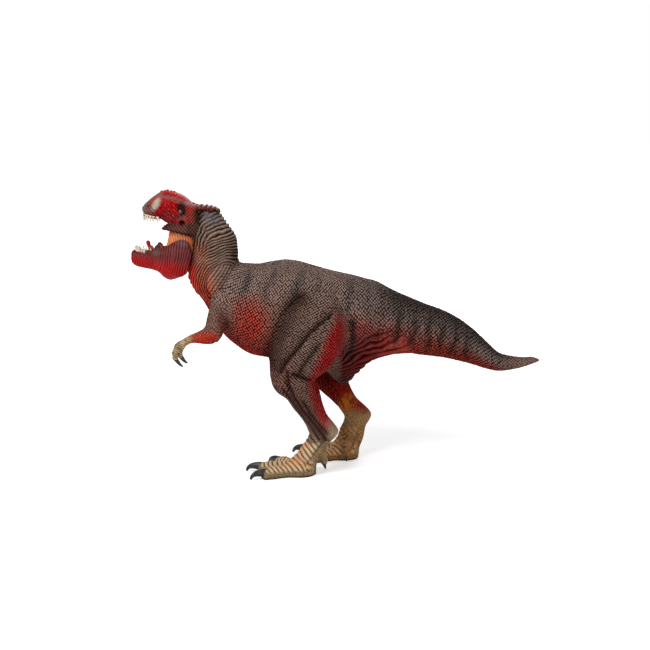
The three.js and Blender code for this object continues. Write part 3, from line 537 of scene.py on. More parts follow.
def cast(name, points, faces, relief, paint, scales, material, pitch=1.25, height=0.34, weave=None):
    """A piece from its sculpted skin: relief, paint and scales go on as attributes, the scales are
    raised by Geometry Nodes, and the result is one plain mesh in its place."""
    mesh = bpy.data.meshes.new(name)
    place = (points + middle_line) * 0.001
    mesh.vertices.add(len(points))
    mesh.vertices.foreach_set("co", place.ravel())
    mesh.loops.add(faces.size)
    mesh.loops.foreach_set("vertex_index", faces.ravel())
    mesh.polygons.add(len(faces))
    mesh.polygons.foreach_set("loop_start", np.arange(0, faces.size, 4))
    mesh.update(calc_edges=True)
    mesh.polygons.foreach_set("use_smooth", np.ones(len(faces), bool))
    for label, values in (("relief", relief), ("scales", scales)):
        layer = mesh.attributes.new(label, "FLOAT", "POINT")
        layer.data.foreach_set("value", np.broadcast_to(values, len(points)).astype(np.float32))
    layer = mesh.attributes.new("paint", "FLOAT_COLOR", "POINT")
    opaque = np.column_stack([paint, np.ones(len(points))])
    layer.data.foreach_set("color", opaque.astype(np.float32).ravel())
    # the scales lie in rows that cross the hide both ways
    x, y, z = points.T
    along, around = weave or (x + 0.8 * np.abs(y), z + 0.5 * np.abs(y))
    rows_of_scales = np.column_stack([along - around, along + around, 0 * along]) * 0.000707
    layer = mesh.attributes.new("weave", "FLOAT_VECTOR", "POINT")
    layer.data.foreach_set("vector", rows_of_scales.astype(np.float32).ravel())
    mesh.validate()
    shape = bpy.data.objects.new(name, mesh)
    scene.collection.objects.link(shape)
    tuned(shape, hide_tree, scale_pitch=pitch * 0.001, scale_height=height * 0.001, warp=0.0007,
          paint=material)
    return baked(shape)


def finished(shape, body, nodes):
    """Attaches a piece to its body and hides the parts from the model that it replaces."""
    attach(shape, body)
    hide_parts(*nodes)


hide_tree = scale_tree()
hide_paint = painted_vinyl("painted hide")
# x, z, half depth, lean, half width, side, keel
torso_rows = [
    (-58.7, 114.7, 14.15, 39, 8.6, 0, 0), (-57.4, 109.9, 15.6, 44, 9, 0, 0),
    (-55.45, 104.6, 16.4, 46.1, 9.6, 0, 0.05), (-52.65, 98.5, 15.2, 39.7, 10.2, 0, 0.08),
    (-50.5, 92.6, 14.9, 30.8, 11.2, 0, 0.08), (-48.25, 88.7, 16, 23, 12.2, 0, 0.06),
    (-44.25, 85.25, 18.8, 19.4, 14.5, 0, 0.05), (-39, 82.65, 21, 16.6, 17, 0, 0.1),
    (-32.25, 80.8, 23.6, 12.9, 18.5, 0, 0.12), (-24.5, 80.4, 24.8, 10.4, 19, 0, 0.12),
    (-16.5, 79.6, 24.7, 8, 18.5, 0, 0.08), (-8, 77.75, 24.3, 4.7, 17.5, 0, 0),
    (0.75, 74.4, 25.4, 1.7, 16.5, 0, -0.12), (8.5, 69.8, 28.5, -1, 15, 0, -0.22),
    (14.75, 71.6, 25.4, -1.7, 14, 0, -0.18), (20.25, 73.1, 22.2, 0, 13.2, 0, -0.08),
    (26, 74.25, 19.55, 0, 12.4, 0, 0), (34, 73.15, 16.35, 0, 11.5, 0, 0), (42, 71.7, 14.3, 0, 10.5, 0, 0),
]
neck_seam = (-50.5, 92.6, 30.8)
tail_seam = 26.0


def trunk(x, y, z):
    """The trunk's form: its rows, the shoulder, the ribs, the hip and the keel along the back."""
    form = skin(torso_rows, x, y, z, 2.15)
    if x.ndim == 2:
        x, y, z = volume(x, y, z)
    return muscled(form, x, y, z, (
        ((-42.5, 9.5, 85), (12, 5.2, 8), 62, 5), ((-27, 14.5, 78), (9, 4.6, 17), 12, 6),
        ((-9, 10.5, 90), (14, 6.5, 9), -8, 6), ((12, 7.5, 84), (14, 5.5, 8), -10, 6),
    ))


def trunk_hide(points):
    """The trunk's folds and its paint."""
    x, z = points[:, 0], points[:, 2]
    cloud = grain(points, 7, 1) * 0.5 + grain(points, 3, 2) * 0.3
    rough = grain(points, 1.6, 9)
    depth, relief = 0, 1
    paint = undercoat(points, *taupe) * (1 + 0.16 * rough)[:, None]
    # slate along the back, brown lower, with sooty stripes running down from it
    top = np.interp(x, [-60, -45, -34, -19, -4, 11, 26, 41, 56, 71, 86, 105],
                    [104, 104, 102.5, 105, 101.5, 97.5, 94, 86.5, 81, 72.5, 58.5, 56])
    down = top - z
    paint = spray(
        paint,
        (ramp(down, 24, 8) * (0.6 + 0.35 * cloud), *slate),
        (ramp(x, 6, 24) * ramp(down, 30, 10) * 0.5, 112, 104, 102),
    )
    for start, lean, long, width, deep in (
        (-36.5, -0.28, 22, 1.8, 0.85), (-24, -0.34, 24, 1.9, 0.7), (-10.5, -0.33, 26, 1.9, 0.7),
        (-1, -0.3, 20, 1.6, 0.45),
        (13.2, -0.16, 26, 1.9, 0.75), (22, -0.12, 24, 1.7, 0.5),
    ):
        line = start + lean * down + 1.3 * grain(points, 6, 5)
        mask = np.exp(-((x - line) / width)**2) * ramp(down, long, long * 0.5) * ramp(down, 0, 4)
        paint = spray(paint, (mask * deep * (0.8 + 0.5 * cloud), 70, 72, 76))
    paint = spray(paint, (patch(points, (-28, 83), (15, 6), -14, 2) * 0.4, 150, 110, 94))
    flank = patch(points, (-36.5, 74), (10, 14.5), 6, 1.9) * (0.9 + 0.45 * cloud)
    paint = spray(
        paint,
        (patch(points, (-34, 74), (15, 15), 0, 2) * 0.45, 150, 84, 66),
        (flank * 0.95, 196, 54, 42),
    )
    low = np.interp(x, [-60, -47, -37, -27, -20, -8], [76, 65, 59.5, 57, 56.4, 56])
    paint = spray(
        paint,
        (ramp(z - low, 15, 2) * ramp(x, -8, -20) * 0.85, 160, 42, 34),
        (ramp(z - low, 2.6, 0.2) * ramp(x, -8, -18) * 0.9, 214, 44, 20),
    )
    # the shadowed hollow ahead of the thigh
    hollow = near(points * (1, 0, 1), ((-12, 88), (-17, 82), (-21, 73), (-24.5, 65), (-26, 57)), 4.2)
    relief = relief * (1 - 0.5 * hollow)
    paint = spray(
        paint,
        (hollow * 0.8, 40, 24, 19),
        (ramp(down, 15, 23) * ramp(x, 7, 15) * (0.6 + 0.6 * cloud), 166, 56, 48),
    )
    # maroon skin beneath the tail, drawn into long folds behind the thigh, with painted shade in the gaps
    # between the folds and in the hollow behind the thigh
    vent = patch(points, (22, 55), (20, 13), 24, 0.9) * ramp(x, 5, 9)
    bearing = np.arctan2(z - 38, x + 8)
    sweep = 13 * bearing * (1 + 0.012 * (x - 6)) + 0.8 * cloud + 0.7 * grain(points, 9, 8)
    folds = fold(sweep, 0.9) * 0.65 + 0.35 * fold(sweep * 2.3 + 0.3, 0.8)
    smooth_skin = np.minimum(vent * 1.3, 1) * ramp(z, 72, 64)
    depth, relief = crease(depth, relief, vent, folds, 1.0, 0.95)
    paint = spray(
        paint,
        (vent * 0.97, 112, 16, 12),
        (vent * np.clip(1.3 * (1 - folds) - 0.05, 0, 1) * 0.85, 38, 10, 10),
        (vent * ramp(x, 22, 8) * 0.45, 52, 26, 26),
        (vent * folds * ramp(z, 58, 66) * 0.15, 120, 92, 90),
        (patch(points, (9.5, 42), (6, 6), 0, 2) * 0.8, 60, 30, 32),
        (near(points * (1, 0, 1), ((13.5, 76), (13.8, 68), (12.5, 58)), 1.9) * 0.85, 34, 24, 24),
    )
    return depth, relief, paint, 1 - 0.75 * smooth_skin


def hidden_seam(x, z, seam):
    """How far a point lies past a seam across the trunk, towards the head."""
    lean = math.radians(seam[2])
    return -((x - seam[0]) * math.cos(lean) - (z - seam[1]) * math.sin(lean))


def sculpt(low, high, pitch, form):
    """Points and faces of a form inside a block of space, with the facing of each point."""
    rulers = lattice(low, high, pitch * coarse)
    x, z = np.meshgrid(rulers[0], rulers[2], indexing="ij")
    field = form(x, rulers[1], z)
    for axis in range(3):
        edge = np.moveaxis(field, axis, 0)
        edge[0], edge[-1] = np.maximum(edge[0], 0.3), np.maximum(edge[-1], 0.3)
    points, faces = net(field, np.array([ruler[0] for ruler in rulers]), pitch * coarse)
    points = relaxed(points, faces)
    return points, faces, facing(points, faces)


def torso_form(x, y, z):
    form = np.maximum(trunk(x, y, z), hidden_seam(x, z, neck_seam)[:, None])
    return np.maximum(form, (x - tail_seam)[:, None])


points, faces, ways = sculpt((-66, -22, 38), (30, 22, 112), 0.42, torso_form)
depth, relief, paint, scales = trunk_hide(points)
points = points - ways * depth[:, None]
torso = cast("torso_skin", points, faces, relief, paint, scales, hide_paint, pitch=1.12, height=0.28,
             weave=wrapped(torso_rows, points))
finished(torso, "figure", ["torso"])

# -------------------------------------------------------------------- neck
# A thick S-shaped neck, cast on its own and glued on a peg. Deep folds of loose
# skin fan out from the shoulder, and the throat is sprayed red.

# its root repeats the trunk's first rows, from the shoulder up
neck_rows = torso_rows[7::-1] + [(-59.9, 120.4, 11.8, 30, 8, 0, 0), (-63.15, 123, 8.3, 8, 7, 0, 0),
                                 (-67.5, 124, 6.5, 0, 6.5, 0, 0)]


def neck_form(x, y, z):
    form = muscled(skin(neck_rows, x, y, z, 2.1), *volume(x, y, z), (
        ((-52, 6.8, 108), (11, 4.4, 5), 62, 4), ((-58.5, 5.4, 98), (9, 3.8, 4.6), 68, 4),
        ((-62.3, 5.2, 114.5), (2.6, 2.2, 4.5), 0, 2),
    ))
    past = hidden_seam(x, z, neck_seam)[:, None]
    form = form + np.clip(-past, 0, 1) * 0.35
    return np.maximum(form, -past - 1.6)


def neck_hide(points, relief, paint, depth):
    """Adds the neck's folds and paint to what the trunk has there, from the seam upwards."""
    x, z = points[:, 0], points[:, 2]
    cloud = grain(points, 6, 1) * 0.5 + grain(points, 2.5, 2) * 0.3
    blend = ramp(hidden_seam(x, z, neck_seam), -8, 1)
    # the folds bend round the root of the neck; a steeper family crosses them behind the skull
    outer = ramp(np.hypot(x + 48.7, z - 93.9), 9, 23)
    reach = np.hypot(x + 48.7 - 8.4 * outer, z - 93.9 + 4 * outer)
    wander = 0.55 * grain(points, 6, 3) + 0.3 * grain(points, 2.6, 4)
    count = reach / 1.9 + wander
    shallow = 0.55 + 0.45 * np.sin(np.floor(count) * 2.4)
    rings = fold(count, 1.15) * (1 - 0.2 * shallow) + 0.2 * shallow
    rings = rings * (0.8 + 0.2 * fold(2 * count + 0.3, 0.6))
    steep = fold(np.hypot(x + 39.2, z - 107.7) / 1.9 + wander, 1.1)
    by_skull = ramp(x, -56, -61) * ramp(z, 108, 114)
    rings = rings * (1 - by_skull) + steep * by_skull
    nape = patch(points, (-55.5, 126), (6, 3.5), -25, 1.6)
    deep = np.clip(blend * ramp(reach, 8.5, 11) * (1 + 0.5 * grain(points, 5, 6)) * (1 - 0.5 * nape), 0, 1)
    root = ramp(reach, 12, 9) * blend
    slanted = fold((0.82 * x - 0.57 * z) / 1.6 + 0.5 * cloud, 0.75)
    depth, relief = crease(depth, relief, deep, rings, 1.2, 1)
    depth, relief = crease(depth, relief, root, slanted, 0.6, 0.9)
    front = np.interp(z, [80, 90, 94.5, 105, 120], [-57, -64.2, -69.1, -72, -75])
    ahead = x - front
    paint = spray(
        paint,
        (blend * 0.9, 150, 122, 106),
        (blend * nape, 118, 110, 110),
        (blend * ramp(x, -50, -42) * ramp(z, 104, 112) * 0.5, 120, 98, 90),
        (blend * patch(points, (-50, 86.5), (5, 5.5), 0, 1.5) * 0.7, 166, 128, 110),
    )
    orange = np.exp(-((ahead - 10) / 5.0)**2) * ramp(z, 118, 108) * ramp(z, 80, 90)
    paint = spray(paint, (blend * orange * (0.75 + 0.7 * cloud), 202, 106, 74))
    scarlet = np.exp(-((ahead - 4.8) / 3.6)**2) * ramp(z, 111, 103) * (0.9 + 0.3 * cloud)
    paint = spray(
        paint,
        (blend * scarlet, 220, 48, 26),
        (blend * ramp(ahead, 3.2, 0.5) * ramp(z, 112, 100) * 0.9, 206, 62, 40),
    )
    # painted shade in the folds, and where the neck goes in behind the skull and the cheek
    paint = spray(paint, (blend * deep * (1 - rings)**1.2, 16, 8, 5))
    shade = near(points, ((-60.5, 131), (-62.5, 125.3), (-64.6, 119.4), (-65.4, 112), (-66, 106)), 2.6)
    paint = spray(paint, (blend * shade * 0.85, 34, 22, 20))
    return relief, paint, depth


points, faces, ways = sculpt((-84, -14, 68), (-36, 14, 136), 0.34, neck_form)
depth, relief, paint, _ = trunk_hide(points)
relief, paint, depth = neck_hide(points, relief, paint, depth)
points = points - ways * depth[:, None]
scales = 1 - 0.65 * ramp(hidden_seam(points[:, 0], points[:, 2], neck_seam), -2, 6)
neck = cast("neck_skin", points, faces, relief, paint, scales, hide_paint, pitch=1.12, height=0.28,
            weave=wrapped(neck_rows, points))
finished(neck, "figure", ["neck"])

# -------------------------------------------------------------------- tail
# The stiff tail is its own casting: near-black on top, red beneath with dark
# bars across, and a brown tip that lifts a little.
def upright(*rows):
    """Rows that stand upright on the middle line: x, z, half depth, half width and, if any, keel."""
    return [(x, z, deep, 0, wide, 0, *(keel or (0,))) for x, z, deep, wide, *keel in rows]


# its root repeats the trunk's last rows
tail_rows = torso_rows[14:] + upright(
    (50, 69.6, 13.1, 9.6), (58, 67.7, 12.1, 8.6), (66, 64.85, 10.95, 7.6), (74, 60.9, 9.1, 6.4),
    (81, 56.5, 6.9, 5.3), (87, 53.2, 4.8, 4.3), (93, 52.6, 3.6, 3.5), (99, 52.9, 2.6, 2.7),
    (104, 53.8, 1.8, 1.9), (107.4, 53.9, 0.6, 0.6),
)


def tail_form(x, y, z):
    form = skin(tail_rows, x, y, z, 1.9)
    # its root continues the trunk's own form
    root = int((x[:, 0] < 35).sum())
    share = ramp(x[:root], 34.5, 28)[:, None]
    form[:root] = form[:root] * (1 - share) + trunk(x[:root], y, z[:root]) * share
    past = (x - tail_seam)[:, None]
    return np.maximum(form + np.clip(-past, 0, 1) * 0.35, -past - 1.6)


points, faces, ways = sculpt((23, -15, 44), (110, 15, 98), 0.4, tail_form)
depth, relief, paint, scales = trunk_hide(points)
x, z = points[:, 0], points[:, 2]
at, middle, half = np.array(tail_rows[2:]).T[:3]
middle = np.interp(x, at, middle)
high = (z - middle) / np.interp(x, at, half)
cloud = grain(points, 6, 11)
start = ramp(x, 24, 34)
paint = spray(
    paint,
    (start * ramp(high, 0.1, 0.85) * 0.8, 60, 52, 50),
    (start * ramp(high, -0.15, -0.7) * ramp(x, 98, 84) * (0.9 + 0.2 * cloud), 170, 34, 28),
    (start * ramp(high, 0.3, -0.3) * ramp(x, 90, 60) * (0.5 + 0.3 * cloud), 168, 78, 64),
)
for bar in (19, 27, 36, 44, 51.5, 58, 64, 70):
    line = bar + 0.12 * (z - middle) + 1.2 * grain(points, 5, 12)
    paint = spray(paint, (start * np.exp(-((x - line) / 1.7)**2) * ramp(high, -0.95, -0.5)
                          * ramp(high, 0.9, 0.2) * 0.7, *soot))
paint = spray(paint, (ramp(x, 84, 96) * 0.7, 122, 92, 74))
rings = fold(x / 2.6 + 0.3 * grain(points, 5, 13), 0.6)
deep = start * 0.35 * ramp(np.abs(high), 0.95, 0.4)
depth, relief = crease(depth, relief, deep, rings, 0.5, 0.7)
points = points - ways * depth[:, None]
scales = scales * (1 - 0.4 * ramp(points[:, 0], 84, 100))
tail = cast("tail_skin", points, faces, relief, paint, scales, hide_paint,
            weave=wrapped(tail_rows, points))
finished(tail, "figure", ["tail"])

# -------------------------------------------------------------------- legs
# Each leg is cast in one piece from the hip to the ankle: a broad thigh with a
# long crease across it, a lean shin with its tendons drawn, and a heel behind.

# half depth and half width down the leg, the same for both; then x, z, lean and side of each
leg_girths = (
    (5.1, 4.6), (9.7, 7), (13.3, 9), (15.6, 10), (16.6, 10.8), (16.9, 11), (16.4, 10.6), (14.9, 9.8),
    (12.7, 8.8), (9.9, 7.6), (9.1, 7.1), (8.1, 6.6), (7.3, 6), (6.8, 5.6), (7, 5.5), (7.5, 5.6),
    (6.9, 5.4), (6.3, 5.3), (6.4, 5.4), (6.7, 5.8), (7.2, 6.7), (7.8, 7.4), (7.8, 7.4),
)
leg_places = {"left": (
    (-1.2, 91.4, -80, -13.7), (-2.5, 86.8, -80, -14.1), (-4, 81.5, -80, -14.5), (-5.5, 76.4, -80, -15),
    (-6.5, 70.9, -82, -15.4), (-8, 65.2, -85, -15.9), (-10, 59.3, -87, -16.4), (-12, 54.5, -88, -16.8),
    (-13.6, 50.3, -92, -17.1), (-14.7, 46.8, -96, -17.4), (-12, 42.9, -103, -17.6),
    (-10.2, 38.6, -101, -17.7), (-8.4, 34.1, -96, -17.9), (-5.9, 30, -92, -18.1), (-3, 26.1, -92, -18.2),
    (-0.9, 22.4, -90, -18.4), (-1.2, 19.7, -90, -18.4), (-3.5, 16.7, -90, -18.4), (-5.1, 14.5, -90, -18.4),
    (-6.8, 11.2, -90, -18.4), (-9.1, 8.5, -90, -18.4), (-12.2, 4.8, -90, -18.4), (-13, -2, -90, -18.4),
), "right": (
    (-6.7, 91.8, -94, 15.1), (-6.1, 87, -94, 15), (-5.4, 81.6, -94, 14.9), (-4.8, 76.3, -94, 14.8),
    (-3.6, 70.7, -93, 14.7), (-2.7, 64.8, -92, 14.5), (-2.3, 58.7, -91, 14.4), (-2.3, 53.7, -91, 14.3),
    (-2.2, 49.4, -89, 14.2), (-1.8, 45.8, -87, 14.1), (1.7, 42.2, -107, 14), (4.1, 38.4, -105, 13.9),
    (6.7, 34.4, -98, 13.8), (9.8, 30.7, -93, 13.8), (13.4, 27.2, -93, 13.7), (16.1, 23.9, -90, 13.6),
    (16.5, 21.1, -90, 13.6), (15.1, 17.7, -90, 13.6), (14.1, 15.3, -90, 13.6), (13.3, 11.6, -90, 13.6),
    (11.8, 8.7, -90, 13.6), (9.8, 4.5, -90, 13.6), (9, -2, -90, 13.6),
)}


def placed(places, girths):
    """A limb's rows, from the x, z, lean and side of each and its half depth and half width."""
    return [(x, z, deep, lean, wide, out, 0) for (x, z, lean, out), (deep, wide) in zip(places, girths)]


leg_rows = {side: placed(places, leg_girths) for side, places in leg_places.items()}
laterals = {"left": -1, "right": 1}
ankle_seam = {"left": 16.6, "right": 17.4}
# where each leg's knee is against the near one's, so that both wear the same folds and paint
leg_shift = {"left": (0, 0), "right": (12, -1)}
ball_of_foot = {"left": (-9.0, -18.4), "right": (12.3, 13.6)}


def leg_form(side):
    lateral = laterals[side]
    knee = (-14, 46) if side == "left" else (-2, 45.5)
    muscles = (
        ((knee[0] + 8.5, 22.5, knee[1] + 19), (17, 4.5, 6.5), 58, 5),
        ((knee[0] - 3.5, 19.5, knee[1] + 11), (12, 5, 5.5), 68, 5),
        ((knee[0] - 4.8, 18, knee[1] + 0.5), (5, 5.2, 5.2), 0, 4),
        ((knee[0] + 4.5, 18.6, knee[1] - 8), (9, 4, 4.2), -55, 4),
    )

    def form(x, y, z):
        across = lateral * y[None, :, None]
        limb = muscled(skin(leg_rows[side], x, y, z, 2.15), x[:, None], across, z[:, None], muscles, False)
        body = trunk(x, y, z)
        whole = np.maximum(melt(limb, body, 3.2), limb - body - 2.2)
        whole = np.maximum(whole, (ankle_seam[side] - z)[:, None])
        return np.maximum(whole, -across + 1.5)
    return form


def instep_ribs(points, side):
    """The ribs of the instep and the ankle's front: 1 on a rib, 0 between two, and where they are."""
    x, z = points[:, 0] - ball_of_foot[side][0], points[:, 2]
    ribs = fold((0.63 - 0.7 * x - 0.6 * z) / 2.1 + 0.1 * grain(points, 3, 31), 0.6)
    return ribs, ramp(x - np.interp(z, [7, 12, 16, 20, 26], [1.5, 3, 5.6, 6.2, 4]), 1.2, -0.6)


def leg_hide(points, side):
    """The leg's creases and paint, running into the trunk's at the hip."""
    depth, relief, paint, _ = trunk_hide(points)
    shift, rib_share = leg_shift[side], 1 if side == "left" else 0.3
    own = points - np.array([shift[0], 0, shift[1]]) * ramp(points[:, 2], 90, 46)[:, None]
    x, z = own[:, 0], own[:, 2]
    flat = own.copy()
    flat[:, 1] = 0
    cloud = grain(points, 6, 21) * 0.5 + grain(points, 2.6, 22) * 0.3
    found, beyond, _ = section(leg_rows[side], points[:, 0], points[:, 2])
    rear = found[:, 0] / found[:, 1]
    on_leg = np.maximum(ramp(np.abs(rear), 1.12, 0.85) * (beyond < 1) * ramp(z, 92, 84), ramp(z, 60, 52))
    # brown on the leg, a darker shin, and a painted highlight down the shin's front
    paint = spray(
        paint,
        (on_leg * 0.9, 138, 112, 100, 1 + 0.12 * grain(points, 1.6, 9)),
        (on_leg * ramp(z, 46, 34) * 0.9, 100, 68, 60),
        (on_leg * ramp(z, 46, 38) * ramp(rear, 0.35, 0.9) * 0.7, 148, 120, 112),
    )
    # the creases between the thigh's muscles, the pit behind the knee, the grooves of the shin, each
    # darkened with painted shade
    outer = ramp(np.abs(points[:, 1]), 10, 13)
    for path, width, behind, deep, dark in (
        (((2.9, 80.6), (-2.4, 76.7), (-7.3, 72.3), (-11.1, 67.4), (-15.5, 61.9), (-19.4, 57), (-21.4, 53)),
         0.7, 3.2, 1.0, 0.42),
        (((-2.9, 66.4), (-6.8, 61.4), (-9.7, 57.5), (-12, 53)), 0.8, 2.6, 0.5, 0.24),
        (((-15.6, 51.8), (-11.7, 50.6), (-7.6, 48.4)), 1.4, 1.4, 0.5, 0.6),
        (((-18.3, 53.2), (-17.6, 47.2), (-15.2, 40.2), (-10.8, 33.2), (-5.4, 26.6), (-1, 21.5), (1.5, 17)),
         0.8, 2.2, 0.7, 0.3),
        (((-10.8, 38.2), (-7.4, 32.1), (-3.4, 27.1), (1, 22)), 0.8, 1.4, 0.2, 0.06),
        (((-20.4, 44.2), (-16.2, 37.2), (-11.3, 30.1), (-6.4, 24.1), (-3, 19)), 0.8, 1.4, 0.2, 0.05),
    ):
        line = near(flat, path, width, behind) * outer * (1 - 0.35 * ramp(z, 46, 34))
        depth = depth + line * deep
        relief = relief * (1 - 0.6 * near(flat, path, width, behind * 0.5) * outer)
        paint = spray(paint, (line * on_leg * dark, 32, 20, 16))
    # a painted highlight along the thigh's front edge
    paint = spray(paint,
                  (near(flat, ((-12.1, 86.5), (-16.5, 81.6), (-20.4, 75.7), (-23.3, 68.3), (-25.3, 60.8)),
                        2.0) * on_leg * outer * 0.6, 156, 126, 114))
    inner_edge = np.interp(z, [20, 28, 34, 40, 47, 51, 59, 69, 78],
                           [2.5, -1.5, -4.5, -6.5, -8, -6.8, -3.4, 0.5, 4.8])
    rear_part = ramp(x - inner_edge, -2.2, 2.4) * ramp(z, 84, 76) * outer
    paint = spray(
        paint,
        (on_leg * rear_part * (0.95 + 0.2 * cloud) * ramp(z, 22, 27), 190, 38, 38),
        (on_leg * rear_part * ramp(z, 50, 42) * (0.5 + 0.7 * grain(points, 1.2, 26)), 128, 22, 20),
    )
    # a painted highlight along the thigh's rear edge
    rim = near(flat, ((10.2, 76), (10.2, 68.1), (7.8, 60.7), (2.9, 54.2), (-5.4, 48.6)), 1.0) * outer
    paint = spray(paint, (on_leg * rim * 0.3, 206, 96, 84))
    if side == "right":
        paint = spray(
            paint,
            (ramp(z, 62, 54) * ramp(z, 22, 30), 164, 32, 14),
            (ramp(z, 38, 47) * ramp(z, 60, 54) * 0.6, 104, 26, 18),
        )
        gold = patch(points, (10.5, 29), (5, 6), -40, 1.6) * (0.75 + 0.7 * cloud)
        paint = spray(
            paint,
            (gold, 206, 116, 36),
            (ramp(z, 58, 44) * (0.15 + grain(points, 1.0, 27)) * 0.8, 92, 24, 12),
        )
        for offset in (0, 2.6):
            strip = near(points, ((-4 + offset, 46), (3 + offset, 36), (7 + offset, 27)), 0.5)
            depth = depth + strip * 0.35
            paint = spray(paint, (strip * 0.7, 70, 20, 10))
        paint = spray(paint, (ramp(z + 3 * cloud, 28.5, 24) * 0.95, 164, 126, 80))
    else:
        paint = spray(
            paint,
            (ramp(z + 3 * cloud, 30, 22) * ramp(x, -1, 4) * 0.9, 178, 154, 124),
            (ramp(z, 27, 21) * ramp(x, 4, 0) * 0.5, 92, 66, 54),
            (ramp(z, 19, 15.5) * 0.7, 146, 120, 92),
        )
    # the foot's ribs start on the shin's lower end
    ribs, ribbed = instep_ribs(points, side)
    ribbed = ribbed * ramp(z, 25, 19) * rib_share
    depth, relief = crease(depth, relief, ribbed, ribs, 0.55, 0.72)
    paint = spray(paint, (ribbed * ramp(ribs, 0.35, 0.8) * ramp(z, 23, 16) * 0.8, 180, 156, 124))
    fine = fold(z / 0.9 + 0.25 * grain(points, 2, 24), 0.8)
    shin = ramp(z, 46, 38)
    depth, relief = crease(depth, relief, shin, fine, 0.12, 0.3)
    return depth, relief, paint, 1 - 0.5 * ramp(z, 44, 28)


leg_box = {"left": ((-30, -33, 14), (19, 3, 100)), "right": ((-24, -3, 14), (27, 33, 100))}
for side in ("left", "right"):
    points, faces, ways = sculpt(*leg_box[side], 0.42, leg_form(side))
    depth, relief, paint, scales = leg_hide(points, side)
    points = points - ways * depth[:, None]
    leg = cast(side + "_leg_skin", points, faces, relief, paint, scales, hide_paint, pitch=1.02,
               height=0.26,
               weave=wrapped(leg_rows[side], points, laterals[side]))
    finished(leg, "figure", [side + "_leg"])

# -------------------------------------------------------------------- feet
# Each foot is a casting below the ankle: the instep with rib-like scutes, three
# toes spread on the floor, a small rear toe that hangs inward, and a flat sole.
toe_turns = {"left": (24, -8, -45), "right": (41, 17, -30)}
toe_lengths = (23.5, 23.97, 21.15)
# share of the toe, height of the middle, half height, half width
toe_rows = np.array([(-0.14, 2.5, 3.45, 2.5), (0.15, 2.9, 4.0, 3.6), (0.3, 2.5, 3.6, 3.3),
                     (0.45, 2.7, 3.8, 3.6),
                     (0.6, 2.4, 3.3, 3.2), (0.75, 2.6, 3.5, 3.6), (0.93, 2.2, 3.1, 3.4),
                     (1.0, 1.7, 2.4, 2.5)])
rear_toe = {
    "left": ((-6.8, -18.4, 13.2, 3.0), (-4.6, -15.7, 12.2, 2.6), (-2.3, -13.0, 9.0, 2.6),
             (-0.7, -11.1, 5.2, 2.2),
             (-0.3, -10.6, 3.9, 1.5)),
    "right": ((13.3, 13.6, 13.6, 3.0), (12.6, 10.2, 12.6, 2.6), (11.8, 6.8, 9.4, 2.6),
              (11.3, 4.3, 5.6, 2.2),
              (11.2, 3.6, 4.3, 1.5)),
}


def toe_place(side, toe, points):
    """Points of a foot along a toe and across it."""
    turn = math.radians(-laterals[side] * toe_turns[side][toe])
    x, y = points[0] - ball_of_foot[side][0], points[1] - ball_of_foot[side][1]
    return -x * math.cos(turn) - y * math.sin(turn), x * math.sin(turn) - y * math.cos(turn)


def toe_skin(side, toe, points):
    """How far each point is outside one toe."""
    along, across = toe_place(side, toe, points)
    share = along / toe_lengths[toe]
    middle, high, wide = (np.interp(share, toe_rows[:, 0], toe_rows[:, column]) for column in (1, 2, 3))
    up = (points[2] - middle) / high
    out = np.hypot(up, across / wide)
    reach = np.hypot(points[2] - middle, across)
    return np.maximum(reach - reach / np.maximum(out, 0.05),
                      np.maximum(share - 1, -0.14 - share) * toe_lengths[toe])


def cord_of_balls(points, chain):
    """A round limb through the given (x, y, z, radius) places."""
    least = 1e3
    for start, end in zip(chain[:-1], chain[1:]):
        start, end = np.array(start), np.array(end)
        way = end[:3] - start[:3]
        share = sum((points[axis] - start[axis]) * way[axis] for axis in range(3)) / (way @ way)
        share = np.clip(share, 0, 1)
        far = np.sqrt(sum((points[axis] - start[axis] - share * way[axis])**2 for axis in range(3)))
        least = np.minimum(least, far - start[3] - share * (end[3] - start[3]))
    return least


def foot_form(side):
    def form(x, y, z):
        block = volume(x, y, z)
        whole = skin(leg_rows[side], x, y, z, 2.15)
        for toe in range(3):
            whole = melt(whole, toe_skin(side, toe, block), 1.6)
        whole = melt(whole, cord_of_balls(block, rear_toe[side]), 1.5)
        over = z[:, None] - ankle_seam[side]
        whole = np.maximum(whole + np.clip(over, 0, 1) * 0.35, over - 1.4)
        return np.maximum(whole, 0.02 - z[:, None])
    return form


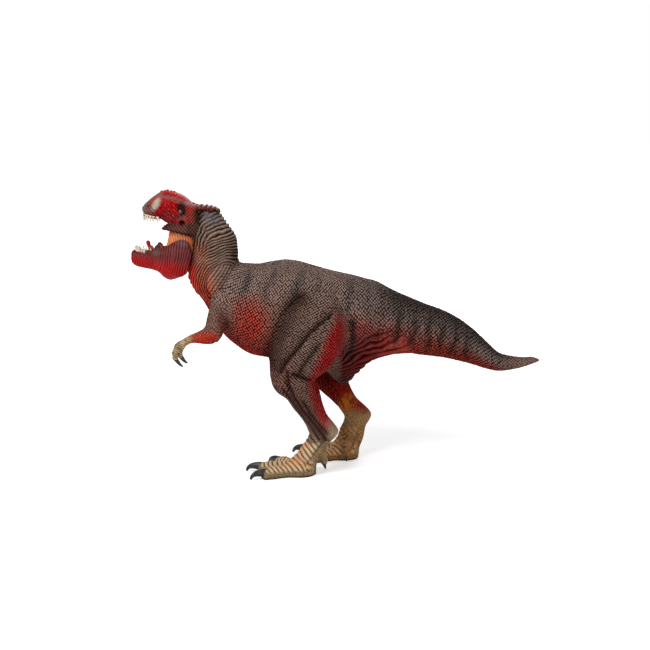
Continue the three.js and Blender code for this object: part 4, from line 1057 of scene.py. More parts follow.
foot_box = {"left": ((-36, -33.5, -1), (10, 1.5, 19.5)), "right": ((-15, -1.5, -1), (26, 33.5, 20.3))}
for side in ("left", "right"):
    points, faces, ways = sculpt(*foot_box[side], 0.27, foot_form(side))
    x, y, z = points.T
    near_foot = side == "left"
    # which toe each point belongs to, and how far along it
    toe = np.array([toe_skin(side, number, (x, y, z)) for number in range(3)]).argmin(axis=0)
    along = np.choose(toe, [toe_place(side, number, (x, y, z))[0] for number in range(3)])
    instep = ramp(z, 7.5, 10.5)
    upper_ribs, frontal = instep_ribs(points, side)
    toe_ribs = fold((along - 0.55 * z) / 2.3 + 0.1 * grain(points, 3, 31), 0.6)
    ribs = toe_ribs * (1 - instep) + upper_ribs * instep
    ribbed = ramp(z, 2.7, 4.2) * (1 - instep) * ramp(x - ball_of_foot[side][0], 5.0, 0.5) + instep * frontal
    share = along / np.array(toe_lengths)[toe]
    ribbed = ribbed * (1 - 0.9 * np.exp(-((share - 1.02) / 0.06)**2) * (1 - instep))
    on_rear = cord_of_balls((x, y, z), rear_toe[side][1:]) < 0.7
    ribbed = np.where(on_rear, 0.25, ribbed) * (1 if near_foot else 1 - 0.6 * instep)
    cloud = grain(points, 3, 32)
    depth, relief = crease(0.08 * cloud + 0.05 * grain(points, 1.1, 34), 1, ribbed, ribs, 0.7, 0.72)
    paint = undercoat(points, *((152, 128, 94) if near_foot else (204, 154, 102)))
    paint = paint * (1 + 0.2 * grain(points, 1.3, 33))[:, None]
    paint = spray(
        paint,
        (0.15 + 0.5 * grain(points, 1.8, 35), 132, 96, 58),
        (ribbed * ramp(ribs, 0.3, 0.8) * 0.85, 202, 176, 138),
        (ribbed * (1 - ribs) * 0.75, 96, 68, 36),
    )
    upper_edge = ramp(z, 4.6, 6.6) * (1 - instep) + instep * ramp(frontal, 0.7, 1) * ramp(ways[:, 0], -0.2,
                                                                                          -0.75)
    paint = spray(paint, (ribbed * upper_edge * (1.1 - 0.7 * ribs) * (0.6 + 0.8 * grain(points, 1.6, 36)),
                          202, 118, 58))
    heel_path = ((-0.5, 18), (-5, 12), (-8.5, 7.5)) if near_foot else ((18, 18), (16, 12), (14, 7))
    heel_line = near(points, heel_path, 0.8)
    depth = depth + heel_line * instep * 0.4
    paint = spray(paint, (heel_line * 0.6, 80, 62, 46))
    ankle_brown = (124, 98, 78) if near_foot else (150, 110, 66)
    # brown at the ankle, and near-black painted shadow along the bottom edge of the sole
    paint = spray(
        paint,
        (ramp(z, 14.5, 18) * 0.6, *ankle_brown),
        (ramp(z, 1.3, 0.5) * 0.85, 34, 27, 22),
    )
    if not near_foot:
        paint = spray(paint, (0.25 + 0.5 * cloud, 168, 112, 54))
    points = points - ways * depth[:, None]
    points[:, 2] = np.maximum(points[:, 2], 0)
    scales = (1 - 0.95 * ribbed) * (0.6 if near_foot else 0.85)
    foot = cast(side + "_foot_skin", points, faces, relief, paint, scales, hide_paint, pitch=0.95,
                height=0.18)
    finished(foot, "figure", [side + "_foot"])

# -------------------------------------------------------------------- arms
# Short arms with two-fingered hands, each glued into the shoulder. The near one
# reaches forward; the far one is folded behind the chest.

# half depth and half width of the upper arm and the forearm, the same for both arms; then the x,
# z, lean and side of each
arm_girths = ((
    (2.1, 2.1), (4.8, 3.4), (5.9, 4.2), (5.5, 4.2), (5, 4), (4.3, 3.7), (3, 2.7),
), (
    (2.8, 2.6), (4.1, 3.6), (4, 3.4), (3, 2.7), (2.1, 2.1), (1.9, 2.4), (2.1, 2.7), (1.9, 2.7), (0.9, 1.6),
))
arm_places = {"left": ((
    (-48.2, 90.7, -72, -10.1), (-49.1, 87.9, -72, -11), (-50.4, 83.8, -72, -12.5), (-52, 78.9, -72, -14.3),
    (-53.6, 74, -72, -16), (-54.9, 69.8, -66, -17.5), (-55.4, 67.6, -66, -17.8),
), (
    (-52.8, 70.2, -10, -17.4), (-54.9, 69.8, -10, -17.5), (-58.3, 69.3, -10, -17.8),
    (-61.6, 68.7, -10, -18.1), (-65.6, 68, -19, -18.4), (-68.7, 66.3, -30, -18.4),
    (-70.6, 65.1, -34, -18.4), (-72.2, 64, -42, -18.4), (-73.2, 62.6, -60, -18.4),
)), "right": ((
    (-55.7, 88.8, -136, 10.1), (-53.6, 86.8, -136, 11.1), (-50.4, 83.8, -136, 12.5),
    (-46.8, 80.2, -136, 14.3), (-43.1, 76.7, -136, 16), (-39.9, 73.6, -136, 17.5),
    (-38.6, 72.4, -136, 17.8),
), (
    (-38.2, 72.9, 22, 17.4), (-39.9, 73.6, 22, 17.5), (-43.1, 74.9, 22, 17.8), (-46.3, 76.2, 22, 18.1),
    (-50, 77.7, 2, 18.4), (-53.2, 76.5, -24, 18.4), (-55.2, 75.4, -28, 18.4), (-57, 74.4, -36, 18.4),
    (-58.2, 73.2, -54, 18.4),
))}
hand_side = 18.4
fingers = {"left": ((-71.8, 64.2), (-73.4, 61.4), (-73.0, 58.9)),
           "right": ((-56.8, 74.6), (-58.7, 72.0), (-59.2, 69.5))}


def arm_form(side):
    lateral = laterals[side]
    arm_rows = [placed(*half) for half in zip(arm_places[side], arm_girths)]

    def form(x, y, z):
        whole = melt(*(skin(rows, x, y, z, 2.1) for rows in arm_rows), 1.8)
        block = volume(x, y, z)
        for number, share in enumerate((-1, 1)):
            chain = [(a + 2.1 * number, lateral * hand_side + share * spread, b + 0.5 * number, radius)
                     for (a, b), spread, radius in zip(fingers[side], (1.2, 1.5, 1.4), (1.75, 1.6, 1.35))]
            whole = melt(whole, cord_of_balls(block, chain), 0.5)
        body = trunk(x, y, z)
        return np.maximum(melt(whole, body, 2.2), whole - body - 1.4)
    return form


arm_box = {"left": ((-77, -24.5, 56), (-38, -4, 97)), "right": ((-64, 4, 66), (-33, 24.5, 97))}
for side in ("left", "right"):
    points, faces, ways = sculpt(*arm_box[side], 0.3, arm_form(side))
    depth, relief, paint, _ = trunk_hide(points)
    x, y, z = points.T
    if side == "left":
        down_arm = ramp(z, 88, 82) * ramp(x, -42, -48)
        reach = np.hypot(x + 43, z - 60)
        hand = ramp(x, -63.5, -68)
        under = ramp(z, 73, 69.5) * ramp(x, -50, -54.5) * (1 - hand) * (0.85 + 0.3 * grain(points, 3, 44))
        # painted shade on the back of the upper arm, where it lies against the chest
        back = patch(points, (-49.5, 74.5), (3.2, 9), 12, 1.5)
    else:
        down_arm = ramp(np.abs(y), 12.5, 15)
        reach = np.hypot(x + 60, z - 60)
        hand = ramp(x, -51, -54) * ramp(z, 77, 74)
        under = ramp(z, 74, 71)
        back = 0 * x
    paint = spray(
        paint,
        (down_arm * 0.85, 134, 106, 92, 1 + 0.15 * grain(points, 1.4, 45)),
        (down_arm * back * 0.7, 96, 34, 28),
        (down_arm * under, 212, 56, 34),
        (hand * 0.97, 186, 164, 124, 1 + 0.25 * grain(points, 1.5, 46)),
        (hand * (0.25 + 0.9 * grain(points, 1.2, 47)), 112, 84, 56),
    )
    lines = fold(reach / 1.25 + 0.2 * grain(points, 3, 41), 0.7)
    cross = fold((z + 0.4 * x) / 1.15 + 0.12 * grain(points, 2, 42), 0.7)
    lines = lines * (1 - hand) + cross * hand
    deep = down_arm * (0.5 + 0.35 * grain(points, 4, 43)) * (1 - hand) + hand
    depth, relief = crease(depth, relief, deep, lines, 0.38, 0.75)
    points = points - ways * depth[:, None]
    scales = 1 - 0.8 * hand - 0.3 * down_arm * (1 - hand)
    arm = cast(side + "_arm_skin", points, faces, relief, paint, scales, hide_paint, pitch=1.0, height=0.2)
    finished(arm, "figure", [side + "_arm"])

# ------------------------------------------------------------------- claws
# Horn claws, each a casting of its own with a root glued in its toe or finger:
# semi-gloss black-grey, streaked paler along fine grain lines.
def swept(tree, arc, sides, taper, radius):
    """A tapering solid swept along an arc, with its thickness given at shares of the way."""
    curve = add(tree, "ShaderNodeFloatCurve",
                {"Value": add(tree, "GeometryNodeSplineParameter").outputs["Factor"]})
    marks = curve.mapping.curves[0].points
    marks[0].location, marks[1].location = taper[0], taper[-1]
    for share, width in taper[1:-1]:
        marks.new(share, width)
    ring = add(tree, "GeometryNodeCurvePrimitiveCircle", {"Resolution": sides, "Radius": 1}, mode="RADIUS")
    return add(tree, "GeometryNodeCurveToMesh", {"Curve": arc, "Profile Curve": ring, "Fill Caps": True,
                                                 "Scale": reckon(tree, "MULTIPLY", curve, radius)})


def claw_tree():
    """A hooked horn swept along an arc, flattened at its sides, thick at the root."""
    inputs = {"Start": "Geometry", "Length": 0.008, "Root Radius": 0.002, "Hook": 0.0035,
              "Sides Flat": 0.8, "Horn": "Material"}
    tree, start = kit("hooked claw", inputs, "Claw")

    def corner(length, hook):
        """A point of the arc, from shares of the length and the hook."""
        return add(tree, "ShaderNodeCombineXYZ", {"X": reckon(tree, "MULTIPLY", start["Length"], length),
                                                  "Z": reckon(tree, "MULTIPLY", start["Hook"], hook)})

    arc = add(tree, "GeometryNodeCurvePrimitiveBezierSegment",
              {"Resolution": 28, "Start": corner(0.25, -0.05), "Start Handle": corner(-0.4, 0.22),
               "End Handle": corner(-0.92, 0.05), "End": corner(-1.0, -0.92)})
    claw = swept(tree, arc, 20, ((0, 0.86), (0.18, 1), (0.5, 1), (0.78, 0.84), (0.93, 0.55), (1, 0.2)),
                 start["Root Radius"])
    flat = add(tree, "ShaderNodeCombineXYZ", {"X": 1, "Y": start["Sides Flat"], "Z": 1})
    return closed(tree, add(tree, "GeometryNodeTransform", {"Geometry": claw, "Scale": flat}),
                  start["Horn"])


def streaked(tree, share, dark, pale):
    """Two colours mixed along streaks."""
    return add(tree, "ShaderNodeMix", {0: share, 6: (*tone(*dark), 1), 7: (*tone(*pale), 1)},
               data_type="RGBA").outputs[2]


def horn(name, dark, pale):
    """Streaked horn: dark paint, paler along fine grain lines, with a low gloss."""
    material, tree, coat = new_paint(name)
    streak = mottle(tree, 1100, 3, (0.35, 1, 1))
    feed(tree, coat, {
        "Base Color": streaked(tree, span(tree, streak, 0.42, 0.72), dark, pale),
        "Roughness": span(tree, streak, 0, 1, 0.28, 0.48),
        "Normal": add(tree, "ShaderNodeBump", {"Strength": 0.25, "Distance": 0.0001, "Height": streak}),
    })
    return material


def set_claw(side, limb, number, length, radius, hook, at, yaw, pitch):
    """One claw from the tree, turned and placed on its toe or finger."""
    name = f"{side}_{limb}_horn_{number}"
    claw = bpy.data.objects.new(name, bpy.data.meshes.new(name))
    scene.collection.objects.link(claw)
    tuned(claw, claw_form, length=length * 0.001, root_radius=radius * 0.001, hook=hook * 0.001,
          sides_flat=0.78,
          horn=claw_horn)
    baked(claw)
    turn = (Matrix.Translation((np.array(at) + middle_line) * 0.001) @ Matrix.Rotation(yaw, 4, "Z")
            @ Matrix.Rotation(pitch, 4, "Y"))
    claw.data.transform(turn)
    claw.data.polygons.foreach_set("use_smooth", np.ones(len(claw.data.polygons), bool))
    finished(claw, "figure", [f"{side}_{limb}_claw_{number}"])


claw_form = claw_tree()
claw_horn = horn("black horn", (22, 22, 23), (70, 68, 66))
for side, lateral in laterals.items():
    heel = ball_of_foot[side]
    for toe, reach in enumerate(toe_lengths):
        turn = math.radians(-lateral * toe_turns[side][toe])
        tip = (heel[0] - reach * math.cos(turn), heel[1] - reach * math.sin(turn), 3.15)
        set_claw(side, "foot", toe + 1, length=6.3, radius=2.7, hook=2.8, at=tip, yaw=turn, pitch=0)
    end = rear_toe[side][3]
    turn = math.radians(lateral * (130 if side == "left" else 78))
    set_claw(side, "foot", 4, length=3.7, radius=1.5, hook=0.6, at=(end[0], end[1], end[2] - 1.4), yaw=turn,
             pitch=math.radians(-62))
    knuckle = fingers[side][2]
    swing = math.radians(-6 if side == "left" else 14) - math.pi / 2 - math.radians(30)
    for number, share in enumerate((-1, 1)):
        at = (knuckle[0] + 2.3 * number, lateral * hand_side + share * 1.4, knuckle[1] - 0.3 + 0.6 * number)
        set_claw(side, "hand", number + 1, length=5.2 - 0.6 * number, radius=1.55, hook=0.9, at=at,
                 yaw=lateral * share * -0.1, pitch=swing)

# -------------------------------------------------------------------- head
# The upper head is cast apart from the neck: a deep narrow skull with a brow
# ridge, a bumpy crest, a wedge of cheek over the jaw joint, and a loose flap of
# skin at the back. It is sprayed bright red, with a grey snout and a pale patch.
skull_rows = upright(
    (-61.5, 123.2, 6.8, 7.2, 0.1), (-62.9, 123.6, 7.6, 7.7, 0.1), (-66, 125.3, 8.3, 8, 0.12),
    (-69, 127.4, 8.8, 8, 0.15), (-72.5, 128.9, 9, 7.6, 0.15), (-76, 130, 8.6, 7, 0.15),
    (-79, 130.9, 7.9, 6.5, 0.12), (-81, 131.3, 7.1, 6.2, 0.08), (-85, 130.55, 5.25, 5.7),
    (-87, 130.05, 4.1, 5.1), (-88.8, 129.85, 2.7, 3.9), (-89.8, 129.85, 1.5, 2.4),
    (-90.2, 129.85, 0.6, 0.9),
)
cheek_rows = upright(
    (-60.5, 121, 4.6, 6.6), (-64, 120.2, 4.4, 7.5), (-67.5, 120.5, 3.9, 7.8), (-71, 121, 3.4, 7.7),
    (-74.5, 121.3, 2.7, 7.4), (-77.5, 121.2, 1.8, 7), (-79.6, 120.8, 0.9, 6.6), (-80.4, 120.6, 0.4, 6.3),
)
flap_rows = upright(
    (-68.5, 130.6, 0.9, 5.4), (-62, 130.5, 1.3, 5.8), (-57, 130.1, 1.2, 5.1), (-53.6, 129.8, 1, 3.8),
    (-51.9, 129.4, 0.6, 2.2),
)
mouth_roof_rows = upright(
    (-69, 122.4, 5.6, 4.5), (-73.5, 123.6, 6, 4.5), (-79.2, 124.6, 5.8, 4.2), (-84.5, 125.2, 4.6, 3.5),
    (-88, 125.4, 3, 2.3),
)
brow = ((-82.5, 137.1), (-75.6, 136.0), (-70.3, 134.3), (-65.9, 132.1), (-62.5, 131))
crest = (
    (-80.4, 138.35), (-79, 138.75), (-77.5, 138.85), (-75.9, 138.6), (-74.3, 138.15), (-72.8, 137.4),
    (-71.3, 136.4), (-69.9, 135.3), (-68.4, 134.3), (-66.8, 133.4), (-65, 132.5), (-63.2, 131.9),
    (-60.9, 131.9), (-58.4, 131.7), (-56.2, 131.3), (-54.3, 130.7),
)


def head_form(x, y, z):
    block = volume(x, y, z)
    whole = melt(skin(skull_rows, x, y, z, 2.5), skin(cheek_rows, x, y, z, 3.0), 1.2)
    whole = melt(whole, skin(flap_rows, x, y, z, 2.2), 1.2)
    for number, (at, height) in enumerate(crest):
        on_skull = at < -64
        for aside in ((0.8, 3.4) if number % 2 == 0 else (2.2, 4.6)):
            place = (at, aside, height - (0.075 if on_skull else 0.02) * aside**2)
            size = (0.78, 0.95, 0.8) if on_skull else (0.7, 0.9, 0.5)
            whole = melt(whole, lump(*block, place, size), 0.16)
    # the flap's torn end, then the brow, the nose, the cheek and the jaw's corner
    whole = muscled(whole, *block, (
        ((-52.4, 0.8, 128.9), (0.9, 1.4, 1.2), 0, 0.4), ((-53.0, 3.0, 129.0), (1.0, 1.1, 1.0), 0, 0.4),
        ((-56.0, 4.9, 129.4), (1.6, 0.8, 0.9), 0, 0.4),
        ((-71.5, 6.6, 133.2), (4.6, 1.6, 1.1), -18, 1.0), ((-81.8, 4.9, 132.6), (2.2, 1.2, 4.0), -32, 1.2),
        ((-70.2, 7.1, 125.6), (4.5, 1.1, 1.4), 5, 1.2), ((-64.8, 6.9, 127.5), (2.6, 1.5, 4.5), 18, 1.4),
    ))
    # the eye's socket, the pits of the face and the nostril
    whole = -muscled(-whole, *block, (
        ((-70.0, 8.7, 130.0), (2.1, 2.0, 3.2), 8, 0.6), ((-69.9, 8.4, 123.6), (1.5, 1.5, 1.3), 0, 0.5),
        ((-76.2, 8.6, 129.4), (3.6, 2.0, 3.0), 10, 1.0), ((-87.0, 5.0, 131.4), (1.1, 1.3, 0.75), 20, 0.4),
        ((-76.9, 8.3, 125.0), (1.3, 1.2, 1.3), 0, 0.5),
    ))
    return hollowed(whole, skin(mouth_roof_rows, x, y, z, 2.4), 0.6)


def head_hide(points, ways):
    """The face's wrinkles and its paint."""
    x, y, z = points.T
    cloud = grain(points, 3, 51) * 0.5 + grain(points, 1.4, 52) * 0.35
    fine = grain(points, 0.8, 53)
    depth, relief = 0, 1
    paint = undercoat(points, 204, 32, 36)
    paint = spray(paint, (0.35 + 0.5 * cloud, 158, 20, 24))
    outer = ramp(np.abs(y), 3.2, 4.2)
    # mottled pits over the face, the rings at the corner of the mouth, the snout's wrinkles
    pits = fold(0.5 * (x + z) / 1.1 + 0.9 * cloud, 0.8) * fold(0.5 * (z - 0.4 * x) / 1.2 + 0.9 * fine, 0.8)
    face = patch(points, (-76.5, 128.5), (8.5, 6.5), 0, 1.2)
    depth, relief = crease(depth, relief, face, pits, 0.22, 0.75)
    corner = np.hypot(x + 76.8, z - 125.2)
    ringed = ramp(corner, 5.2, 3.6)
    depth, relief = crease(depth, relief, ringed, fold(corner / 1.3, 0.8), 0.22, 0.55)
    paint = spray(paint, (ringed * 0.55, 128, 58, 56))
    snout = np.hypot(x + 80.5, (z - 134.5) * 0.9)
    bent = fold(snout / 1.35 + 0.12 * cloud, 0.7)
    nose = ramp(snout, 3.6, 5.4) * ramp(x, -81.5, -84) * ramp(z, 135.8, 133.5)
    depth, relief = crease(depth, relief, nose, bent, 0.26, 0.62)
    paint = spray(
        paint,
        (ramp(x, -84.2, -86.4) * (0.9 + 0.2 * cloud), 120, 92, 86),
        (ramp(x, -82.5, -84.5) * ramp(z, 129.5, 127.5) * 0.85, 96, 66, 62),
        (ramp(x, -78, -84) * ramp(z, 134, 135.8) * 0.75, 122, 84, 80),
    )
    streaks = 0.6 + 0.4 * fold((0.85 * x + 0.53 * z) / 1.1 + 0.5 * cloud, 0.7)
    paint = spray(
        paint,
        (patch(points, (-83.2, 131.9), (1.7, 3.9), -32, 1.5) * outer * 0.8, 134, 122, 114),
        (patch(points, (-82.6, 132.7), (1.7, 3.4), -30, 1.5) * outer * streaks, 204, 200, 176),
    )
    # brow ridge and crest
    ridge = near(points, brow, 0.75)
    depth = depth - ridge * ramp(np.abs(y), 3, 4.6) * 0.32
    above = z - np.interp(x, *zip(*brow))
    paint = spray(
        paint,
        (ridge * ramp(np.abs(y), 2.6, 4) * 0.9, 118, 98, 92),
        (ramp(above, 0.6, 1.4) * ramp(x, -80.5, -79) * (0.8 + 0.3 * cloud), 160, 12, 18),
        (ramp(x, -64.5, -62) * 0.9, 84, 44, 38),
        (ramp(x, -63, -61) * ramp(z, 131.4, 132.2) * 0.5, 140, 30, 26),
    )
    # the eye's dark socket, the grey under it, the pit behind the jaw's corner
    paint = spray(
        paint,
        (patch(points, (-70.0, 130.2), (2.6, 3.9), 8, 1.2) * outer * 0.95, 28, 26, 25),
        (patch(points, (-70.4, 126.3), (2.9, 1.5), 0, 1.6) * outer * 0.75, 104, 76, 76),
    )
    pit = patch(points, (-69.9, 123.7), (1.6, 1.4), 0, 1.2)
    paint = spray(paint, (pit * outer * 0.95, 24, 14, 12))
    relief = relief * (1 - 0.5 * pit)
    # streaked skin behind the eye
    behind = ramp(x, -68.3, -66.8) * ramp(above, 0.6, -0.8)
    streak = fold((-(x + 66) * 0.77 + (z - 128) * 0.64) / 1.15 + 0.15 * cloud, 0.7)
    depth, relief = crease(depth, relief, behind, streak, 0.35, 0.95)
    paint = spray(
        paint,
        (behind * ramp(z, 134, 125) * 0.85, 122, 66, 46),
        (behind * ramp(z, 129, 132) * 0.35, 196, 54, 36),
        (behind * (1 - streak) * 0.6, 30, 14, 12),
        (ramp(x, -65.2, -62.8) * ramp(above, 0, -2) * 0.85, *soot),
    )
    # the wedge of cheek over the jaw
    wedge = ramp(z, 123.9, 122.9) * outer
    rays = fold((x * 0.8 + z * 0.6) / 1.35 + 0.1 * cloud, 0.8)
    depth, relief = crease(depth, relief, wedge, rays, 0.3, 0.85)
    paint = spray(
        paint,
        (wedge * 0.92, 102, 70, 62),
        (wedge * ramp(x, -75, -78) * 0.5, 120, 34, 30),
    )
    edge = near(points, ((-80.4, 120.4), (-74, 119), (-66, 117.6)), 0.8) * outer
    paint = spray(paint, (edge * 0.75, *soot))
    lip_path = ((-89.6, 128.2), (-87, 126.2), (-83.6, 125.3), (-82, 125.4), (-77.8, 122.9))
    lip = near(points, lip_path, 0.55) * outer
    paint = spray(paint, (lip * 0.8, 58, 30, 28))
    # the roof of the mouth
    bound = np.interp(x, [-89, -88, -87, -86, -84, -82, -80], [0, 1.2, 2.2, 2.9, 3.6, 4.1, 4.5])
    inner = ramp(np.abs(y), bound + 0.4, bound - 0.4) * ramp(-ways[:, 2], -0.35, 0.15)
    inner = inner * ramp(z, 132, 129) * ramp(x, -66, -69)
    palate = fold(x / 1.7 + 0.1 * cloud, 0.8)
    paint = spray(paint, (inner, 206, 112, 78))
    relief = relief * (1 - inner) + inner * (0.55 + 0.45 * palate)
    depth = depth + 0.05 * fine
    return depth, relief, paint


face_paint = painted_vinyl("painted face", gloss=0.42, wash_and_shade=0.92, dry_brush_and_highlight=0.3, speck=0.12, bump=0.3)
points, faces, ways = sculpt((-92, -10.5, 112), (-50, 10.5, 141.5), 0.22, head_form)
depth, relief, paint = head_hide(points, ways)
points = points - ways * depth[:, None]
scales = 0.35 * ramp(np.abs(points[:, 1]), 3.2, 4.2)
head = cast("head_skin", points, faces, relief, paint, scales, face_paint, pitch=0.8, height=0.14)
finished(head, "figure", ["head"])

# -------------------------------------------------------------------- eyes
# Round beads set in the sockets: a black eye with a red iris and a narrow
# upright pupil, under a clear gloss.
def eye_paint():
    """The iris and pupil, from how far a point is from the eye's forward axis."""
    material, tree, coat = new_paint("glossy eye")
    spot = add(tree, "ShaderNodeAttribute", attribute_name="iris")
    rings = add(tree, "ShaderNodeValToRGB",
                {"Fac": reckon(tree, "MULTIPLY_ADD", mottle(tree, 5000), 0.12, spot.outputs["Fac"])})
    stops = rings.color_ramp.elements
    pupil, black = (0.004, 0.003, 0.003), (0.006, 0.006, 0.006)
    stops[0].position, stops[0].color = 0.0, (*pupil, 1)
    stops[1].position, stops[1].color = 1.0, (*black, 1)
    for position, colour in ((0.3, pupil), (0.36, tone(214, 22, 18)), (0.62, tone(160, 12, 10)),
                             (0.72, black)):
        stops.new(position).color = (*colour, 1)
    feed(tree, coat, {"Base Color": rings, "Roughness": 0.3, "Coat Weight": 0.2})
    return material


glossy_eye = eye_paint()
eye_place, eye_radius = (-70.5, 6.35, 129.1), 1.55
for side, lateral in laterals.items():
    ball = bmesh.new()
    bmesh.ops.create_icosphere(ball, subdivisions=4, radius=1.0)
    mesh = bpy.data.meshes.new(side + "_eye_bead")
    ball.to_mesh(mesh)
    ball.free()
    spots = np.array([vertex.co[:] for vertex in mesh.vertices])
    forward = np.array((-0.42, lateral * 0.9, 0.05))
    forward = forward / np.linalg.norm(forward)
    # an upright slit: the pupil's distance counts more across than up
    aside = spots - (spots @ forward)[:, None] * forward
    flat = np.cross(forward, (0.25, 0, 1))
    iris = np.hypot(aside @ flat * 1.55, aside[:, 2] * 0.8) + (spots @ forward < 0) * 2
    layer = mesh.attributes.new("iris", "FLOAT", "POINT")
    layer.data.foreach_set("value", np.clip(iris, 0, 1).astype(np.float32))
    bulge = 1 + 0.08 * np.clip(spots @ forward - 0.6, 0, 1)
    place = np.array(eye_place) * (1, lateral, 1) + middle_line
    place = (spots * bulge[:, None] * eye_radius + place) * 0.001
    mesh.vertices.foreach_set("co", place.ravel())
    mesh.polygons.foreach_set("use_smooth", np.ones(len(mesh.polygons), bool))
    mesh.materials.append(glossy_eye)
    bead = bpy.data.objects.new(side + "_eye_bead", mesh)
    scene.collection.objects.link(bead)
    finished(bead, "figure", [side + "_eye"])

# --------------------------------------------------------------- lower jaw
# The one moving casting: a deep cheek lobe behind and a square chin in front,
# maroon above and bright red below, hollowed for the tongue and slotted for the
# block that carries its pin.
jaw_rows = upright(
    (-65.4, 108.2, 1.2, 5.8), (-66.1, 108.6, 4.2, 7.1), (-67.5, 107.9, 7.5, 7.9), (-70, 106.75, 9.65, 8.4),
    (-73, 105.8, 10.1, 8.5), (-76.5, 104.45, 9.65, 8.2), (-79.5, 104.2, 8.3, 7.6),
    (-82.3, 105.1, 6.5, 6.9), (-85.5, 105.05, 5.15, 6.2), (-89, 105.05, 4.45, 5.8),
    (-92.5, 105.55, 4.15, 5.3), (-94.6, 106.1, 3.7, 4.5), (-95.7, 106.3, 2.6, 3.3), (-96, 106.3, 1, 1.6),
)
trough_rows = upright(
    (-76.5, 112.4, 5.2, 4.6), (-79, 112.4, 5.3, 4.8), (-83.9, 112.5, 5.4, 4.1), (-89.2, 112.6, 5.4, 3.5),
    (-92.6, 112.8, 5.2, 2.6), (-93.6, 113.4, 4.6, 1.6),
)
pin_place = (-71.75, 108.98)


def jaw_form(x, y, z):
    wide, across, high = block = volume(x, y, z)
    whole = muscled(skin(jaw_rows, x, y, z, 2.7), *block, (
        ((-82.2, 5.6, 111.0), (1.5, 1.2, 1.9), 20, 1.0), ((-84.5, 5.4, 108.4), (4, 1.2, 1.2), -18, 1.2),
        ((-72.5, 6.4, 104), (6.0, 2.9, 7.2), 14, 1.6),
    ))
    # the slot for the block that carries the pin
    slot = np.maximum(np.maximum(np.abs(across) - 4.9, pin_place[0] - 8.95 - wide), pin_place[1] - 6.3
                      - high)
    return hollowed(hollowed(whole, skin(trough_rows, x, y, z, 2.2), 0.5), slot, 0.5)


points, faces, ways = sculpt((-97.5, -10.5, 93.5), (-64, 10.5, 117.5), 0.22, jaw_form)
x, y, z = points.T
cloud = grain(points, 3, 61) * 0.5 + grain(points, 1.4, 62) * 0.35
depth, relief = 0, 1
paint = undercoat(points, 92, 42, 42)
waterline = np.interp(x, [-96, -90, -85, -81, -75, -68, -65],
                      [107.6, 106.4, 105.6, 104.4, 103.6, 102.0, 104.5])
paint = spray(
    paint,
    (0.35 + 0.5 * cloud, 120, 46, 44),
    (ramp(z + 1.6 * cloud, waterline + 2.6, waterline - 3.0), 176, 10, 14),
    (ramp(z, waterline + 5, waterline) * ramp(x, -80, -76) * 0.35, 150, 18, 20),
    (patch(points, (-83.3, 109.8), (2.4, 2.6), -20, 1.6) * 0.65, 98, 82, 72),
    (patch(points, (-70.4, 114.2), (4.5, 1.8), -10, 1.6) * 0.6, 116, 88, 92),
)
sweep = 0.9 * x - 0.42 * z + 0.012 * (z - 96)**2
lobe = ramp(x, -83.5, -80.5) * ramp(z, 96, 99.5) * ramp(np.abs(y), 4.8, 5.8)
lines = fold(sweep / 1.15 + 0.3 * cloud + 0.4 * grain(points, 5, 63), 0.8)
lobe = lobe * np.clip(0.9 + 0.6 * grain(points, 2.5, 64), 0, 1)
depth, relief = crease(depth, relief, lobe, lines, 0.34, 0.8)
grainy = fold((x + 0.3 * z) / 1.3 + 0.9 * cloud, 0.8)
chin = ramp(x, -82, -85)
depth, relief = crease(depth, relief, chin, grainy, 0.14, 0.5)
rim = ramp(z, *(np.interp(x, [-96, -85, -80], edge)
                for edge in ([108.2, 108.8, 111.5], [109.4, 110.0, 113])))
paint = spray(paint, (rim * ramp(x, -79, -81) * 0.7, 48, 24, 24))
inside = ramp(np.abs(y), *(np.interp(x, [-94, -89, -84, -79], edge)
                           for edge in ([3.0, 3.9, 4.6, 5.3], [2.2, 3.2, 3.9, 4.7])))
inside = inside * ramp(z, 102, 103) * (ways[:, 2] > -0.5)
paint = spray(paint, (inside, 168, 62, 50))
points = points - ways * depth[:, None]
scales = 0.3 * (1 - inside) * (1 - 0.6 * lobe)
jaw = cast("lower_jaw_skin", points, faces, relief, paint, scales, face_paint, pitch=0.9, height=0.12)
finished(jaw, "jaw", ["lower_jaw"])

# ------------------------------------------------------------ mouth lining
# The orange throat casting that shows between the cheek and the jaw: a block
# with stretched folds down its sides and a hollow at the front. It holds the pin.
lining_outline = np.array([(-64.8, 107.9), (-64.8, 115.2), (-66.9, 123.8), (-75.8, 123.8), (-76.9, 118.3),
                           (-78.6, 113.0), (-75.8, 107.3)])


def lining_form(x, y, z):
    flat = np.full(x.shape, -1e3)
    centre = lining_outline.mean(axis=0)
    for start, end in zip(lining_outline, np.roll(lining_outline, -1, axis=0)):
        way = (end - start) / np.linalg.norm(end - start)
        out = np.array((-way[1], way[0]))
        out = out * np.sign((start - centre) @ out)
        flat = np.maximum(flat, (x - start[0]) * out[0] + (z - start[1]) * out[1])
    flat = np.minimum(flat, np.hypot(x - pin_place[0], z - pin_place[1]) - 5.2)[:, None]
    across = np.abs(y)[None, :, None] - 4.6
    rounded = (flat > -1) & (across > -1)
    block = np.where(rounded, np.hypot(flat + 1, across + 1) - 1, np.maximum(flat, across))
    return hollowed(block, lump(*volume(x, y, z), (-79.4, 0, 116), (4.6, 3.4, 3.9), 0, False), 0.8)


